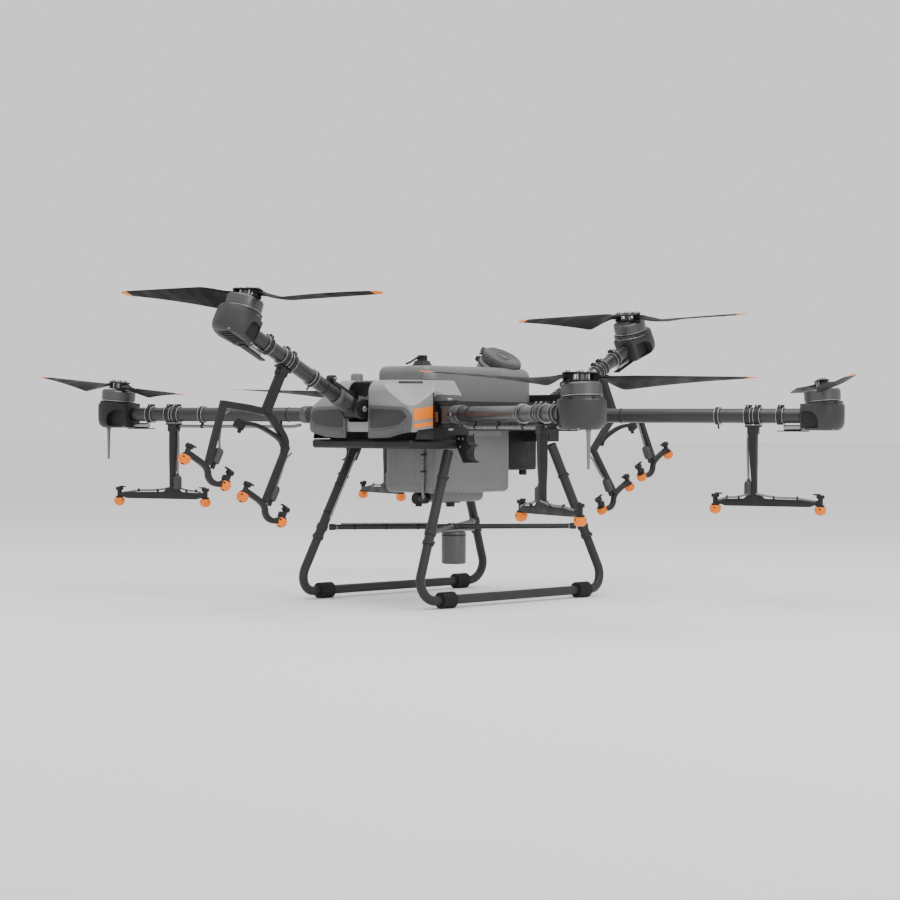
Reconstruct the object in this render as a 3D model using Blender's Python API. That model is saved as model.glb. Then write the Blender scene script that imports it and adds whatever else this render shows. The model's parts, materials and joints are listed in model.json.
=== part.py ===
"""Six-rotor agricultural spray drone with folding arms and propellers, standing on its skids.

Metres, +Z up, nose towards -Y. The origin is on the ground under the middle of the drone.
Arms are numbered from the nose: 1 front, 2 front left (-X), 3 front right, 4 rear, 5 rear right, 6 rear left.
"""

import math

import bmesh
import bpy
from mathutils import Matrix, Vector

# Driving dimensions
GAP = 0.0004  # between pieces that touch
PLAY = 0.0008  # between pieces that turn on each other

ARM_AXIS_Z = 0.537  # tube axis of the four side arms
SIDE_ROOT = (0.250, 0.273)  # fold pins of the side arms, from the middle
SIDE_ARM_ANGLE = 19.4  # degrees from the X axis
SIDE_ARM_LENGTH = 0.7315  # fold pin to motor axis
PIN_LEAN = {2: -2.5, 3: 2.5, 5: -11.5, 6: 11.5}  # degrees about the tube: rear arms fold above front ones
CENTRE_ROOT = (0.400, 0.551)  # fold pins of the front and rear arms: distance from the middle, height
CENTRE_ARM_RISE = 27.5  # degrees above level
CENTRE_ARM_LENGTH = 0.487
TUBE_RADIUS = 0.021
KNUCKLE_RADIUS, KNUCKLE_HEIGHT = 0.026, 0.052
PIN_RADIUS = 0.006

MOTOR_LIFT = 0.057  # middle of the motor above its tube axis
MOTOR_RADIUS, MOTOR_HEIGHT = 0.051, 0.034
SIDE_ROTOR_TILT, CENTRE_ROTOR_TILT = 4.5, -8.5  # degrees towards the arm's root
HOUSING_WIDTH, HOUSING_HALF_HEIGHT, HOUSING_BACK = 0.124, 0.040, 0.0555
PROP_RADIUS = 0.483
PROP_PIN = 0.038  # blade fold pins from the motor axis
PROP_PIN_RADIUS = 0.004
CLAMP_LOW, CLAMP_HIGH = 0.0415, 0.0565  # inner faces of the propeller clamp plates above the motor base
BLADE_CHORD, TIP_CHORD = 0.090, 0.026
TURNS = {1: 1, 2: -1, 3: -1, 4: -1, 5: 1, 6: 1}  # 1 where the rotor turns anticlockwise from above
BLADE_HEADINGS = {  # compass angle of each blade from +X towards +Y, as the propellers stand at rest
    1: (-173.0, 5.0), 2: (175.0, -14.5), 3: (63.0, -99.0),
    4: (178.5, -2.2), 5: (134.5, -46.0), 6: (-107.0, 73.0),
}

BOOM_DROP = 0.246  # side spray bars below the tube axis
BOOM_HALF = 0.154  # side nozzles from the middle of their bar
POST_FROM_MOTOR, BAR_FROM_MOTOR = 0.200, 0.158
BRANCH_DROP, BEAM_DROP = 0.163, 0.213  # front and rear double booms: where the beam forks and ends
BEAM_FRONT, BEAM_BACK = 0.140, -0.110  # its ends, from the post towards the drone's nose
FOOT_FRONT, FOOT_BACK = 0.112, -0.1105  # the feet of the two legs that hang from it
DOUBLE_DROP, DOUBLE_HALF = 0.382, 0.077
BAR_PROFILE = ((0.0835, 0.0013), (0.020, -0.001), (-0.004, -0.008), (-0.018, -0.024), (-0.036, -0.030),
               (-0.058, -0.024), (-0.083, -0.004))  # the bar across a leg's foot
NOZZLE_RADIUS = 0.016
HOSE_START, HOSE_DROP, HOSE_RADIUS = 0.100, 0.036, 0.005  # under the arm's tube, to the top of the post

SKID_X, SKID_Y, SKID_Z = 0.250, 0.285, 0.023
SKID_RADIUS, LEG_RADIUS = 0.0125, 0.0142
SLEEVE_SIDES, SLEEVE_HALF = 16, 0.026
SKID_BEND_TOP, SKID_BEND_END, SKID_BEND_STEPS = 0.092, 0.328, 8  # height on the leg, distance from the middle
LEG_RING = (0.227, 0.336, 0.175)
LEG_TOP = (0.194, 0.222, 0.434)
REAR_LEG_TOP = 0.452
BRACE_Z, BRACE_RADIUS, BRACE_HUB = 0.2095, 0.0075, 0.020
BRACE_SHORT = 0.0206  # a brace's end from the leg's axis

TRAY = (0.205, 0.380, 0.140, 0.441, 0.466)  # half width, front, back (both towards the nose), bottom, top
RAIL_BACK, RAIL_LOW = 0.299, 0.492
RAIL_IN, RAIL_OUT, RAIL_TOP = 0.165, 0.195, 0.575
TANK_HALF, TANK_FRONT, TANK_BACK, TANK_TOP = 0.104, 0.220, 0.232, 0.678
SUMP_HALF, SUMP_FRONT, SUMP_BACK, SUMP_BOTTOM = 0.100, 0.188, 0.138, 0.312
TANK_WALL = 0.004
NECK_PLACE, NECK_TILT = (0.014, 0.165, 0.664), 30.0
BORE_RADIUS, NECK_RADIUS, LID_RADIUS, LID_LOW, LID_HEIGHT = 0.048, 0.064, 0.061, 0.0305, 0.030
COVER_HALF, COVER_FRONT, COVER_BACK = 0.212, 0.387, 0.135
COVER_LOW, COVER_HIGH, COVER_WALL = 0.4665, 0.633, 0.003
CLIP_TIP, CLIP_Y, CLIP_THICKNESS, CLIP_LOW, CLIP_HIGH = 0.268, -0.188, 0.030, 0.402, 0.480
CLIP_CUPS, CLIP_CUP_RADIUS = (0.428, 0.4728), 0.0222
BATTERY = (0.085, 0.1395, 0.270, 0.375, 0.503)  # half width, front, back, bottom, top

SIDES = {2: (-1, -1), 3: (1, -1), 5: (1, 1), 6: (-1, 1)}

for old in list(bpy.data.objects):
    bpy.data.objects.remove(old, do_unlink=True)
PARTS = bpy.data.collections.new("spray_drone")
HELPERS = bpy.data.collections.new("cutters")
for made in (PARTS, HELPERS):
    bpy.context.scene.collection.children.link(made)


def material(name, color, roughness, metallic=0.0):
    found = bpy.data.materials.new(name)
    found.use_nodes = True
    shader = found.node_tree.nodes["Principled BSDF"]
    shader.inputs["Base Color"].default_value = (*color, 1)
    shader.inputs["Roughness"].default_value = roughness
    shader.inputs["Metallic"].default_value = metallic
    return found


CARBON = material("carbon_tube", (0.03, 0.03, 0.035), 0.35)
ALLOY = material("motor_alloy", (0.25, 0.25, 0.26), 0.4, 0.8)
DARK = material("dark_plastic", (0.05, 0.05, 0.055), 0.5)
BLADE = material("blade_plastic", (0.015, 0.015, 0.018), 0.45)
GREY = material("grey_shell", (0.45, 0.46, 0.47), 0.4)
TANK_GREY = material("tank_plastic", (0.28, 0.29, 0.30), 0.35)
LEG = material("leg_tube", (0.08, 0.08, 0.085), 0.45, 0.4)
BOOM = material("boom_plastic", (0.06, 0.06, 0.065), 0.5)


def turn(degrees, axis):
    return Matrix.Rotation(math.radians(degrees), 4, axis)


def shape(mesh, matrix=Matrix()):
    """A helper object that joined() takes in."""
    made = bpy.data.objects.new("helper", mesh)
    made.matrix_world = matrix
    made.hide_render = True
    made.display_type = "WIRE"
    HELPERS.objects.link(made)
    return made


def from_bmesh(bm, matrix=Matrix()):
    mesh = bpy.data.meshes.new("helper")
    bm.transform(matrix)
    bm.to_mesh(mesh)
    bm.free()
    return shape(mesh)


def box(low, high, bevel=0.0, segments=1, matrix=Matrix()):
    low, high = Vector(low), Vector(high)
    bm = bmesh.new()
    bmesh.ops.create_cube(bm, size=1)
    bmesh.ops.scale(bm, vec=high - low, verts=bm.verts)
    bmesh.ops.translate(bm, vec=(high + low) / 2, verts=bm.verts)
    if bevel:
        bmesh.ops.bevel(bm, geom=bm.edges[:], offset=bevel, segments=segments, affect="EDGES", profile=0.5)
    return from_bmesh(bm, matrix)


def rod(start, end, radius, end_radius=None, sides=16, bevel=0.0, matrix=Matrix()):
    start, end = Vector(start), Vector(end)
    bm = bmesh.new()
    bmesh.ops.create_cone(
        bm, cap_ends=True, segments=sides, radius1=radius,
        radius2=radius if end_radius is None else end_radius, depth=(end - start).length,
    )
    if bevel:
        rims = [e for e in bm.edges if len({round(v.co.z, 6) for v in e.verts}) == 1]
        bmesh.ops.bevel(bm, geom=rims, offset=bevel, segments=1, affect="EDGES", profile=0.5)
    place = Vector((0, 0, 1)).rotation_difference(end - start).to_matrix().to_4x4()
    place.translation = (start + end) / 2
    return from_bmesh(bm, matrix @ place)


def tube(points, radius, sides=2, matrix=Matrix()):
    """A round bar along a smooth curve through the points."""
    curve = bpy.data.curves.new("helper", "CURVE")
    curve.dimensions = "3D"
    curve.bevel_depth = radius
    curve.bevel_resolution = sides
    curve.use_fill_caps = True
    line = curve.splines.new("POLY")
    line.points.add(len(points) - 1)
    for point, place in zip(line.points, points):
        point.co = (*place, 1)
    guide = bpy.data.objects.new("helper", curve)
    HELPERS.objects.link(guide)
    mesh = bpy.data.meshes.new_from_object(guide.evaluated_get(bpy.context.evaluated_depsgraph_get()))
    bpy.data.objects.remove(guide)
    bm = bmesh.new()
    bm.from_mesh(mesh)
    bmesh.ops.remove_doubles(bm, verts=bm.verts, dist=1e-5)
    bmesh.ops.recalc_face_normals(bm, faces=bm.faces)
    return from_bmesh(bm, matrix)


def joined(shapes, cuts=()):
    """The union of the shapes less the cuts, as one mesh."""
    body = shapes[0]
    for operation, others in (("UNION", shapes[1:]), ("DIFFERENCE", cuts)):
        for other in others:
            boolean = body.modifiers.new(operation, "BOOLEAN")
            boolean.operation = operation
            boolean.object = other
    mesh = bpy.data.meshes.new_from_object(body.evaluated_get(bpy.context.evaluated_depsgraph_get()))
    for used in [*shapes, *cuts]:
        bpy.data.objects.remove(used)
    return mesh


def node(name, mesh, look, parent=None):
    mesh.name = name
    made = bpy.data.objects.new(name, mesh)
    PARTS.objects.link(made)
    mesh.materials.clear()
    mesh.materials.append(look)
    mesh.shade_smooth()
    mesh.set_sharp_from_angle(angle=math.radians(35))
    made.parent = parent
    return made


def pivot(name, matrix, parent=None):
    """An empty on a joint's axis, which its local Z follows unless said otherwise."""
    made = bpy.data.objects.new(name, None)
    made.empty_display_size = 0.05
    PARTS.objects.link(made)
    made.parent = parent
    made.matrix_local = matrix
    return made


# Arms, in their own frame: the fold pin at the origin, +X along the tube, +Z away from the ground


def arm_frame(number):
    if number in SIDES:
        x, y = SIDES[number]
        heading = math.degrees(math.atan2(y * math.sin(math.radians(SIDE_ARM_ANGLE)),
                                          x * math.cos(math.radians(SIDE_ARM_ANGLE))))
        return Matrix.Translation((x * SIDE_ROOT[0], y * SIDE_ROOT[1], ARM_AXIS_Z)) @ turn(heading, "Z")
    y = -1 if number == 1 else 1
    place = Matrix.Translation((0, y * CENTRE_ROOT[0], CENTRE_ROOT[1]))
    return place @ turn(90 * y, "Z") @ turn(-CENTRE_ARM_RISE, "Y")


def arm_length(number):
    return SIDE_ARM_LENGTH if number in SIDES else CENTRE_ARM_LENGTH


def rotor_frame(number):
    """In the arm's frame: the middle of the motor's base, +Z along its axis."""
    tilt = SIDE_ROTOR_TILT if number in SIDES else CENTRE_ROTOR_TILT
    place = Matrix.Translation((arm_length(number), 0, MOTOR_LIFT)) @ turn(-tilt, "Y")
    return place @ Matrix.Translation((0, 0, -MOTOR_HEIGHT / 2))


def pin_frame(number):
    """In the drone's frame: +Z along the arm's fold pin."""
    lean = turn(PIN_LEAN[number], "X") if number in SIDES else turn(90, "X")
    return arm_frame(number) @ lean


# The body


def chassis():
    half, front, back, low, high = TRAY
    shapes = [box((-half, -front, low), (half, -back, high), 0.006)]
    for side in (-1, 1):
        inner, outer = sorted((side * RAIL_IN, side * RAIL_OUT))
        shapes.append(box((inner, -0.301, high - 0.011), (outer, -back - 0.001, RAIL_TOP)))
        shapes.append(box((inner + 0.0005, -back - 0.030, RAIL_LOW),
                          (outer - 0.0005, RAIL_BACK, RAIL_TOP - 0.0005)))
        near, far = sorted((side * 0.095, side * (RAIL_OUT + 0.004)))
        shapes.append(box((near, 0.196, 0.4605), (far, 0.240, RAIL_LOW + 0.006)))
    shapes.append(box((-0.180, -0.330, high - 0.009), (0.180, -0.295, RAIL_TOP + 0.003)))
    shapes.append(box((-0.180, 0.290, 0.512), (0.180, 0.320, 0.600)))
    inner = KNUCKLE_HEIGHT / 2 + PLAY
    outer = inner + 0.010
    for number in range(1, 7):
        place = pin_frame(number)
        shapes.append(rod((0, 0, -outer + 0.001), (0, 0, outer - 0.001), PIN_RADIUS, sides=16, matrix=place))
        for side in (-1, 1):
            start, end = sorted((side * inner, side * outer))
            shapes.append(rod((0, 0, start), (0, 0, end), 0.028, matrix=place))
            if number in SIDES:
                shapes.append(box((-0.080, -0.0265, start + 0.0005), (0.004, 0.0265, end - 0.0005),
                                  matrix=place))
            else:
                y = sorted((CENTRE_ROOT[0] * (-1 if number == 1 else 1), -0.312 if number == 1 else 0.303))
                height = CENTRE_ROOT[1]
                shapes.append(box((start + 0.0005, y[0], height - 0.0265),
                                  (end - 0.0005, y[1], height + 0.0265)))
        if number in SIDES:
            shapes.append(box((-0.084, -0.031, -outer + 0.002), (-0.036, 0.031, outer - 0.002), matrix=place))
    cuts = [
        box((-SUMP_HALF - 0.004, -SUMP_FRONT - 0.004, low - 0.01),
            (SUMP_HALF + 0.004, SUMP_BACK + 0.004, high + 0.01)),
        box((-BATTERY[0] - 0.004, SUMP_BACK - 0.02, low - 0.02),
            (BATTERY[0] + 0.004, RAIL_BACK + 0.01, RAIL_LOW + 0.015)),
    ]
    return joined(shapes, cuts)


def neck_frame():
    """In the drone's frame: +Z out of the filler neck, which leans to the right, +X along its lid's hinge."""
    return Matrix.Translation(NECK_PLACE) @ turn(NECK_TILT, "Y") @ turn(-90, "Z")


def tank():
    """A hollow tank, open at its filler neck."""

    def form(inset):
        upper = box((-TANK_HALF + inset, -TANK_FRONT + inset, TRAY[4] + 0.002 + inset),
                    (TANK_HALF - inset, 0.110 - inset, TANK_TOP - inset), 0.020 - inset)
        rear = box((-TANK_HALF + inset + 0.0005, -0.050, 0.515 + inset),
                   (TANK_HALF - inset - 0.0005, TANK_BACK - inset, TANK_TOP - inset - 0.0005), 0.020 - inset)
        lower = box((-SUMP_HALF + inset, -SUMP_FRONT + inset, SUMP_BOTTOM + inset),
                    (SUMP_HALF - inset, SUMP_BACK - inset, 0.560), 0.018 - inset, 2)
        sump = box((-0.050 + inset, -0.115 + inset, SUMP_BOTTOM - 0.029 + inset),
                   (0.050 - inset, 0.085 - inset, 0.400), 0.020 - inset)
        return [upper, rear, lower, sump]

    place = neck_frame()
    neck = rod((0, 0, -0.010), (0, 0, 0.030), NECK_RADIUS, sides=28, matrix=place)
    bore = rod((0, 0, -0.045), (0, 0, 0.070), BORE_RADIUS, sides=28, matrix=place)
    recess = rod((0, 0, 0.0298), (0, 0, 0.070), LID_RADIUS + 0.0012, sides=32, matrix=place)
    body = shape(joined(form(0), [shape(joined(form(TANK_WALL)))]))
    return joined([body, neck], [bore, recess])


def tank_lid(place):
    shapes = [
        rod((0, 0, LID_LOW), (0, 0, LID_LOW + LID_HEIGHT), LID_RADIUS, sides=32, bevel=0.005),
        *[box((x - 0.007, -LID_RADIUS - 0.009, 0.034), (x + 0.007, -LID_RADIUS + 0.012, 0.052), 0.002)
          for x in (-0.022, 0.022)],
    ]
    mesh = joined(shapes)
    mesh.transform(place)
    return mesh


def vent_cap():
    x, y, z = 0, -0.134, TANK_TOP + GAP
    return joined([
        rod((x, y, z), (x, y, z + 0.016), 0.029, 0.021, sides=24),
        rod((x, y, z + 0.010), (x, y, z + 0.032), 0.014, sides=16, bevel=0.002),
    ])


def cover_facets(side, depth):
    """Cutters for the slanting planes of the cover's front corner and rear shoulder, sunk by a depth."""
    cutters = []
    for point, heading, slope in (((side * 0.197, -0.372, 0.566), 90 - side * 135, 39.6),
                                  ((side * 0.190, -0.300, COVER_HIGH), 90 - side * 79, 53.7)):
        place = Matrix.Translation(point) @ turn(heading, "Z") @ turn(slope, "Y")
        cutters.append(box((-0.200, -0.200, -depth), (0.200, 0.200, 0.100), matrix=place))
    return cutters


def nose_cover():
    outer = box((-COVER_HALF, -COVER_FRONT, COVER_LOW), (COVER_HALF, -COVER_BACK, COVER_HIGH), 0.035, 3)
    inner = box((-COVER_HALF + COVER_WALL, -COVER_FRONT + COVER_WALL, COVER_LOW - 0.05),
                (COVER_HALF - COVER_WALL, -COVER_BACK + 0.05, COVER_HIGH - COVER_WALL), 0.032, 3)
    hollow = shape(joined([inner], [*cover_facets(-1, COVER_WALL), *cover_facets(1, COVER_WALL)]))
    cuts = [
        *cover_facets(-1, 0),
        *cover_facets(1, 0),
        hollow,
        box((-0.300, -0.500, COVER_LOW - 0.06), (0.300, 0, COVER_LOW + 0.001)),
        box((-0.300, -COVER_BACK - 0.036, COVER_LOW - 0.05), (0.300, 0, COVER_HIGH + 0.02)),
        box((-0.042, -0.500, 0.515), (0.042, -0.345, COVER_HIGH + 0.02)),
        box((-TANK_HALF - 0.004, -TANK_FRONT - 0.004, 0.600), (TANK_HALF + 0.004, 0, COVER_HIGH + 0.02)),
    ]
    for side in (-1, 1):
        inner_x, outer_x = sorted((side * 0.190, side * 0.230))
        cuts.append(box((inner_x, -0.325, COVER_LOW - 0.02), (outer_x, -0.100, 0.592)))
    return joined([outer], cuts)


def gnss_antenna(x):
    y, z = -0.252, COVER_HIGH + GAP
    return joined([rod((x, y, z), (x, y, z + 0.023), 0.0185, 0.0175, sides=20, bevel=0.003)])


def flight_controller():
    return joined([
        box((-0.060, -0.288, 0.4668), (0.060, -0.232, 0.520), 0.004),
        box((-0.045, -0.270, 0.515), (0.045, -0.240, 0.532), 0.002),
    ])


def battery():
    half, front, back, low, high = BATTERY
    return joined([
        box((-half, front, low), (half, back, high), 0.006),
        box((-0.035, back - 0.004, 0.415), (0.035, back + 0.012, 0.430), 0.003),
        rod((0.045, 0.250, low - 0.016), (0.045, 0.250, low + 0.01), 0.012, sides=12),
    ])


def pump():
    return joined([
        rod((0, -0.1155, 0.2950), (0, -0.160, 0.2950), 0.0165, sides=16),
        rod((0, -0.146, 0.300), (0, -0.146, 0.272), 0.010, sides=12),
    ])


def arm_clip(side):
    """A plate standing across the tray's side, with two cups, one above the other, for folded arms."""
    near, tip = side * (TRAY[0] + GAP), side * CLIP_TIP
    low_corner = Matrix.Translation((side * 0.2187, CLIP_Y, CLIP_LOW + 0.0235)) @ turn(-side * 29.5, "Y")
    inner, past = side * -0.060, CLIP_THICKNESS
    cuts = [box((min(0, inner), -past, -0.060), (max(0, inner), past, 0.060), matrix=low_corner)]
    for height in CLIP_CUPS:
        cuts.append(rod((tip, CLIP_Y - past, height), (tip, CLIP_Y + past, height), CLIP_CUP_RADIUS))
    body = box((min(near, tip), CLIP_Y - CLIP_THICKNESS / 2, CLIP_LOW),
               (max(near, tip), CLIP_Y + CLIP_THICKNESS / 2, CLIP_HIGH))
    return joined([body], cuts)


def radar():
    return joined([rod((0, 0, 0.100), (0, 0, 0.1945), 0.036, sides=28, bevel=0.004)])


def radar_bracket():
    """The plate that carries the radar under the crossing of the braces."""
    return joined([
        box((-0.020, -0.060, 0.1955), (0.020, 0.070, 0.2005), 0.001),
        rod((0, 0, 0.1958), (0, 0, BRACE_Z - BRACE_RADIUS - GAP), 0.016, sides=20),
    ])


# Landing gear


def leg_point(side, end, height):
    """On a leg's straight line at a height."""
    share = (height - LEG_RING[2]) / (LEG_TOP[2] - LEG_RING[2])
    x, y = (ring + share * (top - ring) for ring, top in zip(LEG_RING[:2], LEG_TOP[:2]))
    return Vector((side * x, end * y, height))


def upper_leg(side, end):
    top = LEG_TOP[2] - 0.001 if end < 0 else REAR_LEG_TOP
    return joined([
        rod(leg_point(side, end, LEG_RING[2]), leg_point(side, end, top), LEG_RADIUS, sides=18),
        rod(leg_point(side, end, LEG_RING[2]), leg_point(side, end, LEG_RING[2] + 0.012), 0.0175, sides=18),
    ])


def skid_bend(side):
    """The arc between a front leg's line and the ground run, as a conic through its two tangent points."""
    start, corner = leg_point(side, 1, SKID_BEND_TOP), leg_point(side, 1, SKID_Z)
    end = Vector((side * SKID_X, SKID_BEND_END, SKID_Z))
    turned = (start - corner).angle(end - corner)
    weight = math.sin(turned / 2)
    points = []
    for share in (step / SKID_BEND_STEPS for step in range(SKID_BEND_STEPS + 1)):
        parts = ((1 - share) ** 2, 2 * weight * share * (1 - share), share ** 2)
        points.append((start * parts[0] + corner * parts[1] + end * parts[2]) / sum(parts))
    return points


def skid(side):
    """One bent tube: down from the front leg, along the ground, and up to the rear leg, with its two sleeves."""
    bend = [leg_point(side, 1, LEG_RING[2] - 0.003), *skid_bend(side)]
    mirrored = [Vector((p.x, -p.y, p.z)) for p in bend]
    route = [*mirrored, *reversed(bend)]
    shapes = [tube(route, SKID_RADIUS)]
    half_facet = 180 / SLEEVE_SIDES
    sleeve_radius = SKID_Z / math.cos(math.radians(half_facet))
    for end in (-1, 1):
        place = Matrix.Translation((side * SKID_X, end * SKID_Y, SKID_Z)) @ turn(half_facet, "Y")
        shapes.append(rod((0, -SLEEVE_HALF, 0), (0, SLEEVE_HALF, 0), sleeve_radius,
                          sides=SLEEVE_SIDES, bevel=0.004, matrix=place))
    return joined(shapes)


def brace(start, end):
    """A straight bar to a leg from another, or from the hub if start is None. A leg is (side, end)."""
    ends = []
    for corner in (start, end):
        ends.append(leg_point(*corner, BRACE_Z) if corner else Vector((0, 0, BRACE_Z)))
    along = (ends[1] - ends[0]).normalized()
    first = ends[0] + along * (BRACE_SHORT if start else BRACE_HUB + GAP)
    last = ends[1] - along * BRACE_SHORT
    shapes = [rod(first, last, BRACE_RADIUS, sides=14), rod(last - along * 0.018, last, 0.0095, sides=14)]
    if start:
        shapes.append(rod(first, first + along * 0.018, 0.0095, sides=14))
        hub_low = BRACE_Z - BRACE_RADIUS + 0.0005
        shapes.append(rod((0, 0, hub_low), (0, 0, BRACE_Z + 0.009), BRACE_HUB, sides=16))
    return joined(shapes)


# Arms and what they carry, in the arm's frame


def arm(number):
    length = arm_length(number)
    lean = turn(PIN_LEAN[number], "X") if number in SIDES else turn(90, "X")
    half = KNUCKLE_HEIGHT / 2
    shapes = [
        rod((0.010, 0, 0), (length - HOUSING_WIDTH / 2 - GAP, 0, 0), TUBE_RADIUS, sides=18),
        rod((0, 0, -half), (0, 0, half), KNUCKLE_RADIUS, sides=18, matrix=lean),
        rod((0.034, 0, 0), (0.085, 0, 0), 0.0255, sides=18),
    ]
    for place, width in ((length - 0.118, 0.016), (length - POST_FROM_MOTOR, 0.022)):
        shapes.append(rod((place - width / 2, 0, 0), (place + width / 2, 0, 0), 0.0255, sides=18))
        shapes.append(box((place - width / 2 + 0.002, -0.009, 0.018),
                          (place + width / 2 - 0.002, 0.009, 0.030)))
    if number not in SIDES:
        shapes.append(box((0.020, -0.013, 0.020), (0.115, 0.013, 0.031), 0.003))
        shapes.append(rod((0.118, -0.012, 0.034), (0.118, 0.012, 0.034), 0.010, sides=14))
    bore = rod((0, 0, -half - 0.01), (0, 0, half + 0.01), PIN_RADIUS + 0.0004, sides=16, matrix=lean)
    return joined(shapes, [bore])


def motor_housing(number):
    length = arm_length(number)
    half = HOUSING_WIDTH / 2
    tilt = SIDE_ROTOR_TILT if number in SIDES else CENTRE_ROTOR_TILT
    top = MOTOR_LIFT - MOTOR_HEIGHT / 2 - half * math.sin(math.radians(abs(tilt))) - 0.001
    shapes = [
        rod((length, 0, -HOUSING_HALF_HEIGHT), (length, 0, top), half, sides=28, bevel=0.008),
        box((length - HOUSING_BACK, -0.044, -0.038), (length, 0.044, top - 0.002), 0.010),
        rod((0, 0, -0.022), (0, 0, -PLAY), 0.055, sides=28, matrix=rotor_frame(number)),
        rod((length - 0.110, 0, -0.033), (length - 0.050, 0, -0.033), 0.0095, sides=10),
    ]
    if number in (2, 3):
        shapes.append(rod((length + 0.036, 0, -0.138), (length + 0.036, 0, -0.036), 0.0040, 0.0056, sides=10))
    return joined(shapes)


def nozzle(x, z):
    """A capped nozzle hanging from its bar, with the check valve's knob above."""
    return [
        rod((x, 0, z - 0.010), (x, 0, z + 0.010), NOZZLE_RADIUS, sides=12),
        rod((x, 0, z), (x, 0, z + 0.038), 0.0066, sides=8),
        rod((x, 0, z + 0.034), (x, 0, z + 0.044), 0.012, sides=10),
    ]


def side_boom(number):
    length = arm_length(number)
    post, bar = length - POST_FROM_MOTOR, length - BAR_FROM_MOTOR
    shapes = [
        rod((bar - BOOM_HALF - 0.006, 0, -BOOM_DROP), (bar + BOOM_HALF + 0.006, 0, -BOOM_DROP), 0.009, sides=10),
        rod((post, 0, -BOOM_DROP), (post, 0, -0.0262), 0.0115, sides=12),
        box((post - 0.012, -0.0125, -0.046), (post + 0.012, 0.0125, -0.0262)),
        rod((bar, 0, -BOOM_DROP), (bar, 0, -0.222), 0.006, sides=8),
        rod((bar, 0, -0.226), (bar, 0, -0.172), 0.0115, sides=12),
    ]
    if number in (2, 3):
        shapes.append(rod((HOSE_START, 0, -HOSE_DROP), (post, 0, -HOSE_DROP), HOSE_RADIUS, sides=8))
    for side in (-1, 1):
        shapes += nozzle(bar + side * BOOM_HALF, -BOOM_DROP - 0.021)
    return joined(shapes)


def double_boom(number):
    """A post with a straight branch towards the nose and a curved one behind. Each has a leg and two nozzles."""
    post = arm_length(number) - POST_FROM_MOTOR
    nose = 1 if number == 1 else -1
    curve = ((0, 0.012), (-0.030, -0.004), (-0.070, -0.020), (-0.098, -0.034), (BEAM_BACK - 0.001, -0.056))
    curved_fork = [(post + nose * x, 0, -BRANCH_DROP + z) for x, z in curve]
    shapes = [
        rod((post, 0, -BRANCH_DROP - 0.006), (post, 0, -0.0262), 0.0125, sides=12),
        box((post - 0.013, -0.0135, -0.048), (post + 0.013, 0.0135, -0.0262)),
        rod((post - nose * 0.004, 0, -BRANCH_DROP + 0.004), (post + nose * BEAM_FRONT, 0, -BEAM_DROP), 0.0095,
            sides=10),
        tube(curved_fork, 0.009),
    ]
    for top, foot in ((nose * BEAM_FRONT, nose * FOOT_FRONT), (nose * BEAM_BACK, nose * FOOT_BACK)):
        top, foot = post + top, post + foot
        shapes.append(rod((top, 0, -BEAM_DROP), (foot, 0, -DOUBLE_DROP), 0.0086, sides=10))
        shapes.append(tube([(foot + x, GAP, -DOUBLE_DROP + z) for x, z in BAR_PROFILE], 0.0079))
        for side in (-1, 1):
            shapes += nozzle(foot + side * DOUBLE_HALF, -DOUBLE_DROP - 0.020)
    return joined(shapes)


# Rotors, in the rotor's frame: +Z up the motor's axis, +X towards the first blade's fold pin


def motor_bell():
    shapes = [
        rod((0, 0, 0), (0, 0, MOTOR_HEIGHT), MOTOR_RADIUS, sides=24, bevel=0.003),
        rod((0, 0, MOTOR_HEIGHT - 0.002), (0, 0, CLAMP_HIGH + 0.003), 0.010, sides=12),
    ]
    for low in (CLAMP_LOW - 0.004, CLAMP_HIGH):
        shapes.append(box((-PROP_PIN - 0.013, -0.015, low), (PROP_PIN + 0.013, 0.015, low + 0.004)))
    for side in (-1, 1):
        x = side * PROP_PIN
        shapes.append(rod((x, 0, CLAMP_LOW - 0.003), (x, 0, CLAMP_HIGH + 0.007), PROP_PIN_RADIUS, sides=10))
    return joined(shapes)


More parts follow.
